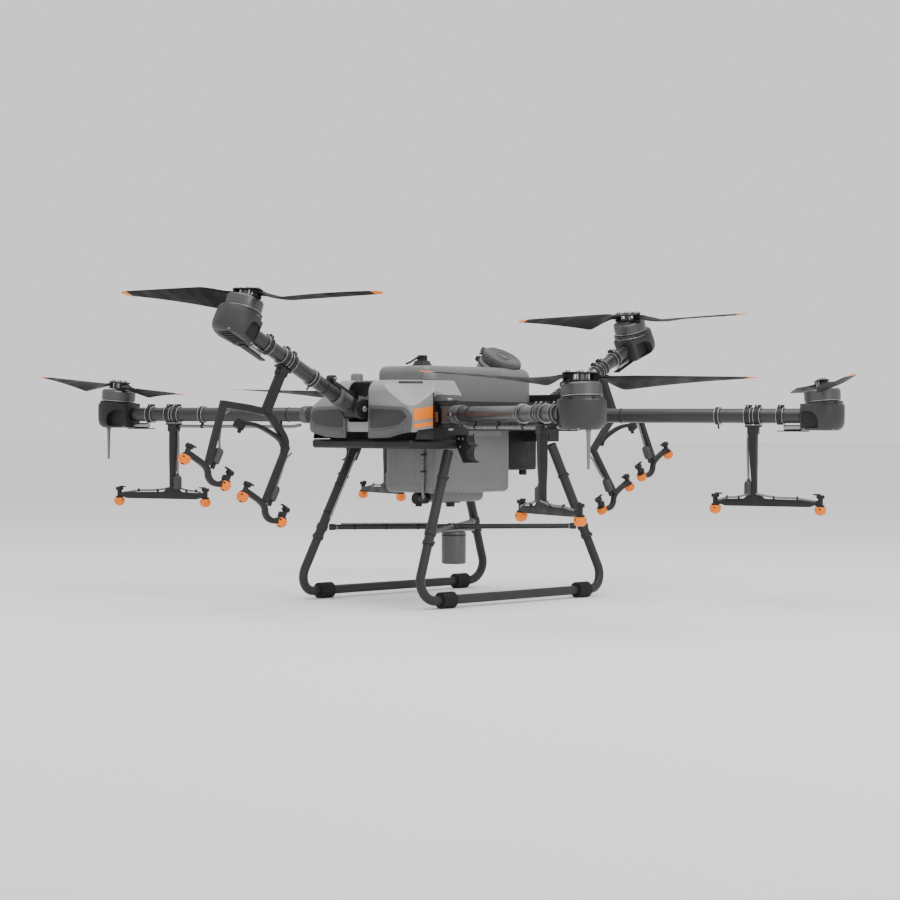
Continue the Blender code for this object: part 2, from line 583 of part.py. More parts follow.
def blade(hand):
    """From its fold pin at the origin out along +X. hand is 1 where the rotor turns anticlockwise from above."""
    reach = PROP_RADIUS - PROP_PIN
    middle = (CLAMP_LOW + CLAMP_HIGH) / 2
    stations = 9
    bm = bmesh.new()
    rings = []
    for i in range(stations):
        share = i / (stations - 1)
        x = 0.012 + share * (reach - 0.012)
        if share < 0.2:
            chord = 0.020 + (BLADE_CHORD - 0.020) * math.sin(share / 0.2 * math.pi / 2)
        else:
            chord = BLADE_CHORD + (TIP_CHORD - BLADE_CHORD) * (share - 0.2) / 0.8
        pitch = math.radians(22 - 18 * share)
        thick = 0.0085 * (1 - share) + 0.0022
        ring = []
        for along, above in ((0.5, 0), (0.2, 0.5), (-0.2, 0.4), (-0.5, 0), (-0.2, -0.3), (0.2, -0.4)):
            y, z = along * chord + 0.06 * chord, above * thick
            ring.append(bm.verts.new((
                x,
                hand * (y * math.cos(pitch) - z * math.sin(pitch)),
                middle + (y - 0.56 * chord) * math.sin(pitch) * min(1, 0.1 + share * 4.5) + z * math.cos(pitch),
            )))
        rings.append(ring)
    for near, far in zip(rings, rings[1:]):
        for j in range(6):
            bm.faces.new((near[j], near[j - 1], far[j - 1], far[j]))
    bm.faces.new(rings[0])
    bm.faces.new(list(reversed(rings[-1])))
    bmesh.ops.recalc_face_normals(bm, faces=bm.faces)
    bmesh.ops.triangulate(bm, faces=bm.faces)
    eye = rod((0, 0, CLAMP_LOW + 0.0006), (0, 0, CLAMP_HIGH - 0.0006), 0.012, sides=14)
    neck = box((0.002, -0.009, middle - 0.004), (0.030, 0.009, middle + 0.004))
    bore = rod((0, 0, CLAMP_LOW - 0.01), (0, 0, CLAMP_HIGH + 0.01), PROP_PIN_RADIUS + 0.0006, sides=12)
    return joined([eye, neck, from_bmesh(bm)], [bore])


def build_body():
    node("chassis", chassis(), DARK)
    node("tank", tank(), TANK_GREY)
    neck = neck_frame()
    hinge = neck @ Matrix.Translation((0, -LID_RADIUS - 0.004, LID_LOW)) @ turn(90, "Y")
    lid = node("tank_lid", tank_lid(hinge.inverted() @ neck), DARK)
    lid.parent = pivot("tank_lid_hinge", hinge)
    node("vent_cap", vent_cap(), DARK)
    node("nose_cover", nose_cover(), GREY)
    node("gnss_antenna_left", gnss_antenna(-0.150), GREY)
    node("gnss_antenna_right", gnss_antenna(0.150), GREY)
    node("flight_controller", flight_controller(), DARK)
    node("battery", battery(), DARK)
    node("arm_clip_left", arm_clip(-1), DARK)
    node("arm_clip_right", arm_clip(1), DARK)
    node("pump", pump(), DARK)
    node("radar", radar(), TANK_GREY)
    node("radar_bracket", radar_bracket(), ALLOY)


def build_landing_gear():
    for side, left_right in ((-1, "left"), (1, "right")):
        node(f"skid_{left_right}", skid(side), LEG)
        for end, front_rear in ((-1, "front"), (1, "rear")):
            node(f"leg_{front_rear}_{left_right}", upper_leg(side, end), LEG)
    node("brace_long", brace((-1, -1), (1, 1)), LEG)
    node("brace_front_right", brace(None, (1, -1)), LEG)
    node("brace_rear_left", brace(None, (-1, 1)), LEG)


def build_arm(number):
    holder = pivot(f"arm_{number}_pivot", arm_frame(number))
    node(f"arm_{number}", arm(number), CARBON, holder)
    node(f"motor_housing_{number}", motor_housing(number), DARK, holder)
    boom = side_boom(number) if number in SIDES else double_boom(number)
    node(f"spray_boom_{number}", boom, BOOM, holder)
    return holder


def build_rotor(number, holder, bell_mesh, blade_meshes):
    level = rotor_frame(number)
    world = arm_frame(number) @ level
    headings = []
    for heading in BLADE_HEADINGS[number]:
        flat = Vector((math.cos(math.radians(heading)), math.sin(math.radians(heading)), 0))
        local = world.to_3x3().inverted() @ flat
        headings.append(math.degrees(math.atan2(local.y, local.x)))
    first, second = headings
    bend = (second - first - 180 + 180) % 360 - 180
    spin = pivot(f"rotor_{number}_spin", level @ turn(first + bend / 2, "Z"), holder)
    node(f"motor_bell_{number}", bell_mesh.copy(), ALLOY, spin)
    for letter, side, angle in (("a", 1, -bend / 2), ("b", -1, 180 + bend / 2)):
        place = Matrix.Translation((side * PROP_PIN, 0, 0)) @ turn(angle, "Z")
        fold = pivot(f"blade_{number}{letter}_fold", place, spin)
        node(f"blade_{number}{letter}", blade_meshes[TURNS[number]].copy(), BLADE, fold)


build_body()
build_landing_gear()
bell = motor_bell()
blades = {hand: blade(hand) for hand in (-1, 1)}
for arm_number in range(1, 7):
    build_rotor(arm_number, build_arm(arm_number), bell, blades)
for spare in (bell, *blades.values()):
    bpy.data.meshes.remove(spare)
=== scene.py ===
"""Looks of the folding six-rotor spray drone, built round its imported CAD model.

Metres, +Z up, nose towards -Y. Arms: 1 front, 2 front left (-X), 3 front right, 4 rear, 5 rear right and
6 rear left.
"""

import json
import math

import bmesh
import bpy
from mathutils import Matrix, Vector


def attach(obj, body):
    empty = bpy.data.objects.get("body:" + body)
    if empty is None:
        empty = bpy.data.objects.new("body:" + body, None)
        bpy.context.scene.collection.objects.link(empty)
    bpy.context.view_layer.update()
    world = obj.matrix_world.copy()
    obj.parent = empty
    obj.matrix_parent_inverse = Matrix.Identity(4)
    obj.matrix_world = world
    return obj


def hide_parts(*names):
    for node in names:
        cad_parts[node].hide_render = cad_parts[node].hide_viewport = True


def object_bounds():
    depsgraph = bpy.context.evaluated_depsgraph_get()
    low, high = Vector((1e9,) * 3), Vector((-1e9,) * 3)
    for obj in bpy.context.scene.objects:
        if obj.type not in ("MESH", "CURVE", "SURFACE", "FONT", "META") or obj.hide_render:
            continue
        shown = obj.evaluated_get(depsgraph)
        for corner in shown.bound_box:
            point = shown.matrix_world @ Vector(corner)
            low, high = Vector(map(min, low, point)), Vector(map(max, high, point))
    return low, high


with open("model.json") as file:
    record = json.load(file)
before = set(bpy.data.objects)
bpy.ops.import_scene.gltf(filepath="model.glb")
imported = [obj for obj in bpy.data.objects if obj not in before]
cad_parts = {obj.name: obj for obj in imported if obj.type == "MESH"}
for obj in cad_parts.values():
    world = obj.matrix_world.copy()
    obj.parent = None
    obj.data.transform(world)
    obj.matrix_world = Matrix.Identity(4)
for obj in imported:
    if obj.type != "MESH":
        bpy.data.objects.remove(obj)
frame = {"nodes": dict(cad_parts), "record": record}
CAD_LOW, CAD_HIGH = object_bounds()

JOINTS = {joint["name"]: joint for joint in frame["record"]["behaviour"]["joints"]}
SIDE_ARMS = (2, 3, 5, 6)
CENTRE_RISE = math.radians(27.5)
TURNS = {1: 1, 2: -1, 3: -1, 4: -1, 5: 1, 6: 1}
BLADE_HEADINGS = {
    1: (-173.0, 5.0), 2: (175.0, -14.5), 3: (63.0, -99.0),
    4: (178.5, -2.2), 5: (134.5, -46.0), 6: (-107.0, 73.0),
}
MOTOR_RADIUS, MOTOR_HEIGHT, PROP_PIN, PROP_RADIUS = 0.051, 0.034, 0.038, 0.483
CLAMP_LOW, CLAMP_HIGH = 0.0415, 0.0565
HOUSING_LOW, HOUSING_BACK, SCOOP_HALF = -0.041, 0.0555, 0.0405
POST_FROM_MOTOR, BAR_FROM_MOTOR, BOOM_DROP, BOOM_HALF = 0.200, 0.158, 0.246, 0.154
BEAM_DROP = 0.213
DOUBLE_DROP, DOUBLE_HALF = 0.382, 0.077
LEG_RING, LEG_TOP = (0.227, 0.336, 0.175), (0.194, 0.222, 0.434)
IDENTITY = Matrix()


# Camera, light and floor


def set_camera():
    data = bpy.data.cameras.new("camera")
    data.lens, data.sensor_width = 85.15, 36
    camera = bpy.data.objects.new("camera", data)
    bpy.context.scene.collection.objects.link(camera)
    eye, target = Vector((4.3743, -4.4852, 0.5003)), Vector((-0.0089, -0.0083, 0.4344))
    camera.matrix_world = (
        Matrix.Translation(eye)
        @ (target - eye).to_track_quat("-Z", "Y").to_matrix().to_4x4()
        @ Matrix.Rotation(math.radians(0.22), 4, "Z")
    )
    data.clip_end = 200
    bpy.context.scene.camera = camera


def area_light(name, place, target, size, power):
    data = bpy.data.lights.new(name, "AREA")
    data.size, data.energy = size, power
    light = bpy.data.objects.new(name, data)
    light.matrix_world = (
        Matrix.Translation(place)
        @ (Vector(target) - Vector(place)).to_track_quat("-Z", "Y").to_matrix().to_4x4()
    )
    bpy.context.scene.collection.objects.link(light)


def set_studio():
    world = bpy.data.worlds.new("studio")
    bpy.context.scene.world = world
    world.use_nodes = True
    sky = world.node_tree.nodes["Background"]
    sky.inputs["Color"].default_value = (1, 1, 1, 1)
    sky.inputs["Strength"].default_value = 1.05
    area_light("top_light", (0.5, -0.5, 4.5), (0, 0, 0.5), 4.0, 150)
    area_light("front_light", (4.5, -1.0, 2.6), (0, 0, 0.5), 2.5, 55)
    bm = bmesh.new()
    bmesh.ops.create_grid(bm, x_segments=1, y_segments=1, size=60)
    mesh = bpy.data.meshes.new("floor")
    bm.to_mesh(mesh)
    bm.free()
    floor = bpy.data.objects.new("floor", mesh)
    bpy.context.scene.collection.objects.link(floor)
    floor.location.z = CAD_LOW.z
    mesh.materials.append(material("floor_paper", (0.9, 0.9, 0.9), 0.9, grain=40, variation=0.01, bump=0.0))


# Materials: each returns a node material with its own grain, colour variation and relief


def nodes_of(name):
    made = bpy.data.materials.new(name)
    made.use_nodes = True
    tree = made.node_tree
    return made, tree, tree.nodes["Principled BSDF"]


def wire(tree, source, output, target, socket):
    tree.links.new(source.outputs[output], target.inputs[socket])


def math_node(tree, operation, first, second=None):
    """A Math node whose inputs are numbers or (node, output) pairs."""
    made = tree.nodes.new("ShaderNodeMath")
    made.operation = operation
    for index, value in enumerate((first, second)):
        if isinstance(value, tuple):
            tree.links.new(value[0].outputs[value[1]], made.inputs[index])
        elif value is not None:
            made.inputs[index].default_value = value
    return made


def noise(tree, scale, detail, coords):
    made = tree.nodes.new("ShaderNodeTexNoise")
    made.inputs["Scale"].default_value = scale
    made.inputs["Detail"].default_value = detail
    wire(tree, coords, "Object", made, "Vector")
    return made


def spread(tree, source, output, low, high):
    made = tree.nodes.new("ShaderNodeMapRange")
    made.inputs["From Min"].default_value = 0.3
    made.inputs["From Max"].default_value = 0.7
    made.inputs["To Min"].default_value = low
    made.inputs["To Max"].default_value = high
    wire(tree, source, output, made, "Value")
    return made


def blend_colour(tree, factor, output, first, second):
    made = tree.nodes.new("ShaderNodeMix")
    made.data_type = "RGBA"
    made.inputs["A"].default_value = (*first, 1)
    made.inputs["B"].default_value = (*second, 1)
    wire(tree, factor, output, made, "Factor")
    return made


def material(name, colour, roughness, metallic=0.0, grain=900, variation=0.12, bump=0.15,
             coat=0.0, specular=0.5, rough_spread=0.12):
    made, tree, shader = nodes_of(name)
    coords = tree.nodes.new("ShaderNodeTexCoord")
    cloud = noise(tree, 9, 3, coords)
    speck = noise(tree, grain, 2, coords)
    mixed = math_node(tree, "ADD", (cloud, "Fac"), (speck, "Fac"))
    halved = math_node(tree, "MULTIPLY", (mixed, "Value"), 0.5)
    shade = spread(tree, halved, "Value", 0, 1)
    dark = [channel * (1 - variation) for channel in colour]
    light = [min(1, channel * (1 + variation)) for channel in colour]
    tint = blend_colour(tree, shade, "Result", dark, light)
    wire(tree, tint, "Result", shader, "Base Color")
    smudge = noise(tree, 23, 4, coords)
    rough = spread(tree, smudge, "Fac", max(0.03, roughness - rough_spread), min(1, roughness + rough_spread))
    wire(tree, rough, "Result", shader, "Roughness")
    shader.inputs["Metallic"].default_value = metallic
    shader.inputs["Coat Weight"].default_value = coat
    shader.inputs["Coat Roughness"].default_value = 0.12
    shader.inputs["Specular IOR Level"].default_value = specular
    if bump:
        relief = tree.nodes.new("ShaderNodeBump")
        relief.inputs["Strength"].default_value = bump
        relief.inputs["Distance"].default_value = 0.0004
        wire(tree, speck, "Fac", relief, "Height")
        wire(tree, relief, "Normal", shader, "Normal")
    return made


def carbon_weave(name):
    """Twill round a tube along local X, under clear lacquer."""
    made, tree, shader = nodes_of(name)
    coords = tree.nodes.new("ShaderNodeTexCoord")
    split = tree.nodes.new("ShaderNodeSeparateXYZ")
    wire(tree, coords, "Object", split, "Vector")
    along = math_node(tree, "MULTIPLY", (split, "X"), 512)
    angle = math_node(tree, "ARCTAN2", (split, "Y"), (split, "Z"))
    around = math_node(tree, "MULTIPLY", (angle, "Value"), 64 / (2 * math.pi))
    tow_along = math_node(tree, "FLOOR", (along, "Value"))
    tow_around = math_node(tree, "FLOOR", (around, "Value"))
    diagonal = math_node(tree, "ADD", (tow_along, "Value"), (tow_around, "Value"))
    phase = math_node(tree, "MODULO", (math_node(tree, "ADD", (diagonal, "Value"), 4000), "Value"), 4)
    over = math_node(tree, "LESS_THAN", (phase, "Value"), 2)
    cloud = noise(tree, 14, 3, coords)
    streak = math_node(tree, "MULTIPLY", (cloud, "Fac"), 0.5)
    factor = math_node(tree, "MULTIPLY", (over, "Value"), 0.55)
    total = math_node(tree, "ADD", (factor, "Value"), (streak, "Value"))
    tint = blend_colour(tree, total, "Value", (0.006, 0.006, 0.0065), (0.020, 0.020, 0.021))
    wire(tree, tint, "Result", shader, "Base Color")
    relief = tree.nodes.new("ShaderNodeBump")
    relief.inputs["Strength"].default_value = 0.15
    relief.inputs["Distance"].default_value = 0.0003
    wire(tree, over, "Value", relief, "Height")
    wire(tree, relief, "Normal", shader, "Normal")
    rough = spread(tree, cloud, "Fac", 0.34, 0.48)
    wire(tree, rough, "Result", shader, "Roughness")
    shader.inputs["Coat Weight"].default_value = 0.3
    shader.inputs["Coat Roughness"].default_value = 0.15
    return made


def clear_tube(name, colour):
    made, tree, shader = nodes_of(name)
    coords = tree.nodes.new("ShaderNodeTexCoord")
    cloud = noise(tree, 60, 3, coords)
    tint = blend_colour(tree, cloud, "Fac", [c * 0.85 for c in colour], colour)
    wire(tree, tint, "Result", shader, "Base Color")
    rough = spread(tree, cloud, "Fac", 0.15, 0.35)
    wire(tree, rough, "Result", shader, "Roughness")
    shader.inputs["Transmission Weight"].default_value = 0.35
    shader.inputs["IOR"].default_value = 1.45
    return made


LOOKS = {
    "carbon": carbon_weave("carbon_weave"),
    "alloy": material("motor_alloy_turned", (0.10, 0.10, 0.103), 0.40, 0.7, grain=500, bump=0.08),
    "steel": material("bright_steel", (0.36, 0.36, 0.365), 0.32, 0.9, grain=700, bump=0.06),
    "black": material("black_plastic", (0.008, 0.008, 0.009), 0.5, specular=0.3),
    "dark": material("dark_plastic_moulded", (0.016, 0.016, 0.017), 0.5, specular=0.3),
    "mid": material("mid_grey_plastic", (0.050, 0.050, 0.052), 0.45, specular=0.35),
    "housing": material("housing_grey", (0.042, 0.042, 0.043), 0.45, grain=1200, specular=0.25),
    "panel": material("nose_panel_grey", (0.088, 0.088, 0.088), 0.4, grain=1100, specular=0.4),
    "shell": material("shell_grey", (0.26, 0.26, 0.26), 0.34, grain=1300, variation=0.05, coat=0.1),
    "tank": material("tank_grey", (0.145, 0.145, 0.143), 0.36, grain=700, variation=0.08),
    "lid": material("lid_grey", (0.065, 0.065, 0.065), 0.42, specular=0.4),
    "stub": material("antenna_grey", (0.16, 0.16, 0.16), 0.42, grain=1100),
    "radar": material("radar_grey", (0.085, 0.085, 0.085), 0.4, grain=900, specular=0.4),
    "blade": material("blade_black", (0.005, 0.005, 0.0055), 0.55, grain=1500, bump=0.04, specular=0.12),
    "leg": material("leg_coating", (0.030, 0.030, 0.031), 0.42, 0.15, grain=1000, specular=0.3),
    "rubber": material("sleeve_rubber", (0.014, 0.014, 0.014), 0.7, grain=600, bump=0.35, specular=0.25),
    "orange": material("orange_plastic", (0.95, 0.21, 0.008), 0.42, grain=700, variation=0.08, specular=0.25),
    "label": material("orange_label", (0.95, 0.23, 0.008), 0.5, grain=1200, variation=0.04, bump=0.03,
                      specular=0.2),
    "stripe": material("label_stripe", (0.28, 0.28, 0.27), 0.5, grain=1200, variation=0.04, bump=0.03),
    "rust": material("reddish_block", (0.14, 0.045, 0.028), 0.55, specular=0.3),
    "hose": clear_tube("hose_clear", (0.24, 0.24, 0.235)),
    "screen": material("vent_black", (0.005, 0.005, 0.005), 0.8, grain=300, bump=0.6, specular=0.2),
}


# Mesh tools. Each adds to a bmesh, in the piece's own frame


def merge(bm, other, place, look):
    for face in other.faces:
        face.material_index = look
    other.transform(place)
    mesh = bpy.data.meshes.new("part")
    other.to_mesh(mesh)
    other.free()
    bm.from_mesh(mesh)
    bpy.data.meshes.remove(mesh)


def block(bm, low, high, bevel=0.0015, place=IDENTITY, look=0, segments=2):
    low, high = Vector(low), Vector(high)
    made = bmesh.new()
    bmesh.ops.create_cube(made, size=1)
    bmesh.ops.scale(made, vec=high - low, verts=made.verts)
    bmesh.ops.translate(made, vec=(high + low) / 2, verts=made.verts)
    if bevel:
        bmesh.ops.bevel(made, geom=made.edges[:], offset=bevel, segments=segments, affect="EDGES", profile=0.5)
    merge(bm, made, place, look)


def loft(bm, rings, place=IDENTITY, look=0, caps=True):
    """Joins closed rings of equally many points."""
    made = bmesh.new()
    rows = [[made.verts.new(point) for point in ring] for ring in rings]
    for near, far in zip(rows, rows[1:]):
        for i in range(len(near)):
            made.faces.new((near[i - 1], near[i], far[i], far[i - 1]))
    if caps:
        made.faces.new(list(reversed(rows[0])))
        made.faces.new(rows[-1])
    bmesh.ops.recalc_face_normals(made, faces=made.faces)
    merge(bm, made, place, look)


def turned(bm, profile, place=IDENTITY, look=0, sides=40):
    """A profile of (radius, height) pairs turned round Z, from axis to axis or as a closed ring."""
    made = bmesh.new()
    rows = []
    for radius, height in profile:
        if radius < 1e-6:
            rows.append([made.verts.new((0, 0, height))])
        else:
            angles = (2 * math.pi * i / sides for i in range(sides))
            rows.append([made.verts.new((radius * math.cos(a), radius * math.sin(a), height)) for a in angles])
    if len(rows[0]) > 1:
        rows.append(rows[0])
    for near, far in zip(rows, rows[1:]):
        for i in range(sides):
            corners = [near[i - 1], near[i], far[i], far[i - 1]] if len(near) > 1 and len(far) > 1 else (
                [near[0], far[i], far[i - 1]] if len(near) == 1 else [near[i - 1], near[i], far[0]])
            made.faces.new(corners)
    bmesh.ops.recalc_face_normals(made, faces=made.faces)
    merge(bm, made, place, look)


def rod(bm, start, end, radius, look=0, place=IDENTITY, sides=24, chamfer=0.0008, end_radius=None):
    start, end = Vector(start), Vector(end)
    length = (end - start).length
    far = radius if end_radius is None else end_radius
    profile = [(0, 0), (radius - chamfer, 0), (radius, chamfer), (far, length - chamfer),
               (far - chamfer, length), (0, length)]
    turned(bm, profile, place @ aim(start, end), look, sides)


def ring(bm, start, end, inner, outer, look=0, place=IDENTITY, sides=36, chamfer=0.0008):
    start, end = Vector(start), Vector(end)
    length = (end - start).length
    profile = [(inner, 0), (outer - chamfer, 0), (outer, chamfer), (outer, length - chamfer),
               (outer - chamfer, length), (inner, length)]
    turned(bm, profile, place @ aim(start, end), look, sides)


def aim(start, end):
    """The frame at start whose Z points at end."""
    start, end = Vector(start), Vector(end)
    place = Vector((0, 0, 1)).rotation_difference(end - start).to_matrix().to_4x4()
    place.translation = start
    return place


def smooth_path(points, steps=6):
    """A Catmull-Rom curve through the points."""
    points = [Vector(p) for p in points]
    padded = [2 * points[0] - points[1], *points, 2 * points[-1] - points[-2]]
    path = []
    for a, b, c, d in zip(padded, padded[1:], padded[2:], padded[3:]):
        for i in range(steps):
            t = i / steps
            path.append(0.5 * (2 * b + (c - a) * t + (2 * a - 5 * b + 4 * c - d) * t ** 2
                               + (3 * b - a - 3 * c + d) * t ** 3))
    return [*path, points[-1]]


def sweep(bm, path, section, place=IDENTITY, look=0, up=(0, 1, 0), scales=None):
    """Carries a closed section, (across, up) pairs, along a path."""
    path = [Vector(p) for p in path]
    up = Vector(up)
    rings = []
    for i, point in enumerate(path):
        along = (path[min(i + 1, len(path) - 1)] - path[max(i - 1, 0)]).normalized()
        across = along.cross(up).normalized()
        rise = across.cross(along)
        grow = scales[i] if scales else 1
        rings.append([point + across * a * grow + rise * b * grow for a, b in section])
        up = rise
    loft(bm, rings, place, look)


def circle(radius, sides=16):
    return [(radius * math.cos(2 * math.pi * i / sides), radius * math.sin(2 * math.pi * i / sides))
            for i in range(sides)]


def oblong(half_width, half_height, corner, steps=3):
    """A rectangle with round corners, as (across, up) pairs."""
    points = []
    for x, y, start in ((1, 1, 0), (-1, 1, 90), (-1, -1, 180), (1, -1, 270)):
        for i in range(steps + 1):
            angle = math.radians(start + 90 * i / steps)
            points.append((x * (half_width - corner) + corner * math.cos(angle),
                           y * (half_height - corner) + corner * math.sin(angle)))
    return points


def pipe(bm, points, radius, place=IDENTITY, look=0, steps=6, sides=14, up=(0, 1, 0)):
    sweep(bm, smooth_path(points, steps) if len(points) > 2 else points, circle(radius, sides), place, look, up)


def plate(bm, outline, low, high, bevel=0.001, place=IDENTITY, look=0):
    """A flat outline of (x, y) pairs from height low to high."""
    made = bmesh.new()
    foot = [made.verts.new((x, y, low)) for x, y in outline]
    top = [made.verts.new((x, y, high)) for x, y in outline]
    made.faces.new(list(reversed(foot)))
    made.faces.new(top)
    for i in range(len(foot)):
        made.faces.new((foot[i - 1], foot[i], top[i], top[i - 1]))
    bmesh.ops.recalc_face_normals(made, faces=made.faces)
    if bevel:
        rims = [e for e in made.edges if abs(e.verts[0].co.z - e.verts[1].co.z) < 1e-7]
        bmesh.ops.bevel(made, geom=rims, offset=bevel, segments=2, affect="EDGES", profile=0.5)
    merge(bm, made, place, look)


def rounded(points, radius, steps=4):
    """An outline with its corners rounded."""
    made = []
    count = len(points)
    for i, point in enumerate(points):
        here = Vector(point)
        before, after = Vector(points[i - 1]) - here, Vector(points[(i + 1) % count]) - here
        reach = min(radius, before.length * 0.45, after.length * 0.45)
        a, b = here + before.normalized() * reach, here + after.normalized() * reach
        for k in range(steps + 1):
            t = k / steps
            made.append(tuple(a * (1 - t) ** 2 + here * 2 * t * (1 - t) + b * t ** 2))
    return made


def screw(bm, point, direction, radius=0.004, place=IDENTITY, look=0):
    """A socket cap screw's head, standing on a surface."""
    height = radius * 0.9
    place = place @ aim(point, Vector(point) + Vector(direction))
    turned(bm, [(0, height * 0.45), (radius * 0.5, height * 0.45), (radius * 0.56, height),
                (radius * 0.86, height), (radius, height * 0.8), (radius, 0), (0, 0)], place, look, 14)


def piece(name, bm, body, looks, place=IDENTITY, stands_for=()):
    mesh = bpy.data.meshes.new(name)
    bm.to_mesh(mesh)
    bm.free()
    for look in looks:
        mesh.materials.append(LOOKS[look])
    mesh.shade_smooth()
    mesh.set_sharp_from_angle(angle=math.radians(32))
    made = bpy.data.objects.new(name, mesh)
    bpy.context.scene.collection.objects.link(made)
    made.matrix_world = place
    if stands_for:
        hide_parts(*stands_for)
    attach(made, body)
    return made


# Frames of the arms, rotors and blades, from the CAD joints


def joint_place(name):
    return Vector(JOINTS[name]["pos_m"])


def basis(origin, x_axis, z_axis):
    """The frame with this Z and, as nearly as that allows, this X."""
    z_axis = Vector(z_axis).normalized()
    y_axis = z_axis.cross(Vector(x_axis)).normalized()
    x_axis = y_axis.cross(z_axis)
    place = Matrix((x_axis, y_axis, z_axis)).transposed().to_4x4()
    place.translation = origin
    return place


def arm_frame(number):
    root = joint_place(f"arm_{number}_fold")
    out = joint_place(f"rotor_{number}_spin") - root
    level = Vector((out.x, out.y, 0)).normalized()
    rise = 0 if number in SIDE_ARMS else CENTRE_RISE
    along = level * math.cos(rise) + Vector((0, 0, math.sin(rise)))
    return basis(root, along, Vector((0, 0, math.cos(rise))) - level * math.sin(rise))


def rotor_frame(number):
    base = joint_place(f"rotor_{number}_spin")
    return basis(base, joint_place(f"blade_{number}a_fold") - base, JOINTS[f"rotor_{number}_spin"]["axis"])


def arm_length(number):
    """Fold pin to motor axis, along the tube."""
    middle = rotor_frame(number) @ Vector((0, 0, MOTOR_HEIGHT / 2))
    return (arm_frame(number).inverted() @ middle).x


def blade_frame(number, letter):
    heading = math.radians(BLADE_HEADINGS[number]["ab".index(letter)])
    return basis(joint_place(f"blade_{number}{letter}_fold"), (math.cos(heading), math.sin(heading), 0),
                 JOINTS[f"rotor_{number}_spin"]["axis"])


# Rotors


def stadium(half_length, half_width, steps=8):
    points = []
    for side in (1, -1):
        for i in range(steps + 1):
            angle = math.radians(-90 + 180 * i / steps)
            points.append((side * (half_length - half_width + half_width * math.cos(angle)),
                           side * half_width * math.sin(angle)))
    return points


def motor_bell(number):
    """The can with its light foot ring, and the two clamp plates that hold the blades."""
    bm = bmesh.new()
    radius, top = MOTOR_RADIUS, MOTOR_HEIGHT
    turned(bm, [(0, 0.0012), (radius - 0.0025, 0.0012), (radius - 0.0025, 0.0042), (radius, 0.0052),
                (radius, top - 0.004), (radius - 0.003, top), (0.022, top), (0.020, top + 0.0022),
                (0, top + 0.0022)], look=0, sides=56)
    ring(bm, (0, 0, 0.0008), (0, 0, 0.0046), radius - 0.004, radius - 0.0006, look=1, sides=56)
    for i in range(12):
        spoke = Matrix.Rotation(2 * math.pi * i / 12, 4, "Z")
        block(bm, (0.021, -0.0028, top - 0.0005), (radius - 0.005, 0.0028, top + 0.0012), 0.0005, spoke, 0)
        block(bm, (0.030, 0.0068, top - 0.0004), (radius - 0.0065, 0.0098, top + 0.0004), 0.0002, spoke, 2)
    rod(bm, (0, 0, top), (0, 0, CLAMP_HIGH + 0.002), 0.0105, 0)
    for low, look in ((CLAMP_LOW - 0.004, 3), (CLAMP_HIGH, 3)):
        plate(bm, stadium(PROP_PIN + 0.014, 0.0155), low, low + 0.004, 0.0008, look=look)
    for side in (-1, 1):
        pin = (side * PROP_PIN, 0)
        rod(bm, (*pin, CLAMP_LOW - 0.0045), (*pin, CLAMP_HIGH + 0.0052), 0.0038, 1)
        screw(bm, (*pin, CLAMP_HIGH + 0.004), (0, 0, 1), 0.0062, look=1)
        for across in (-0.0098, 0.0098):
            spacer = (side * 0.0165, across)
            rod(bm, (*spacer, CLAMP_LOW - 0.0002), (*spacer, CLAMP_HIGH + 0.0002), 0.003, 1, sides=14)
            screw(bm, (*spacer, CLAMP_HIGH + 0.004), (0, 0, 1), 0.0036, look=1)
    screw(bm, (0, 0, CLAMP_HIGH + 0.004), (0, 0, 1), 0.007, look=1)
    piece(f"motor_bell_{number}", bm, f"rotor_{number}", ("alloy", "steel", "screen", "black"),
          rotor_frame(number), [f"motor_bell_{number}"])


BLADE_SECTION = (
    (0.50, 0.00), (0.44, 0.18), (0.32, 0.38), (0.15, 0.50), (-0.05, 0.50), (-0.25, 0.36), (-0.42, 0.14),
    (-0.50, 0.00), (-0.42, -0.08), (-0.25, -0.18), (-0.05, -0.26), (0.15, -0.30), (0.32, -0.26), (0.44, -0.14),
)


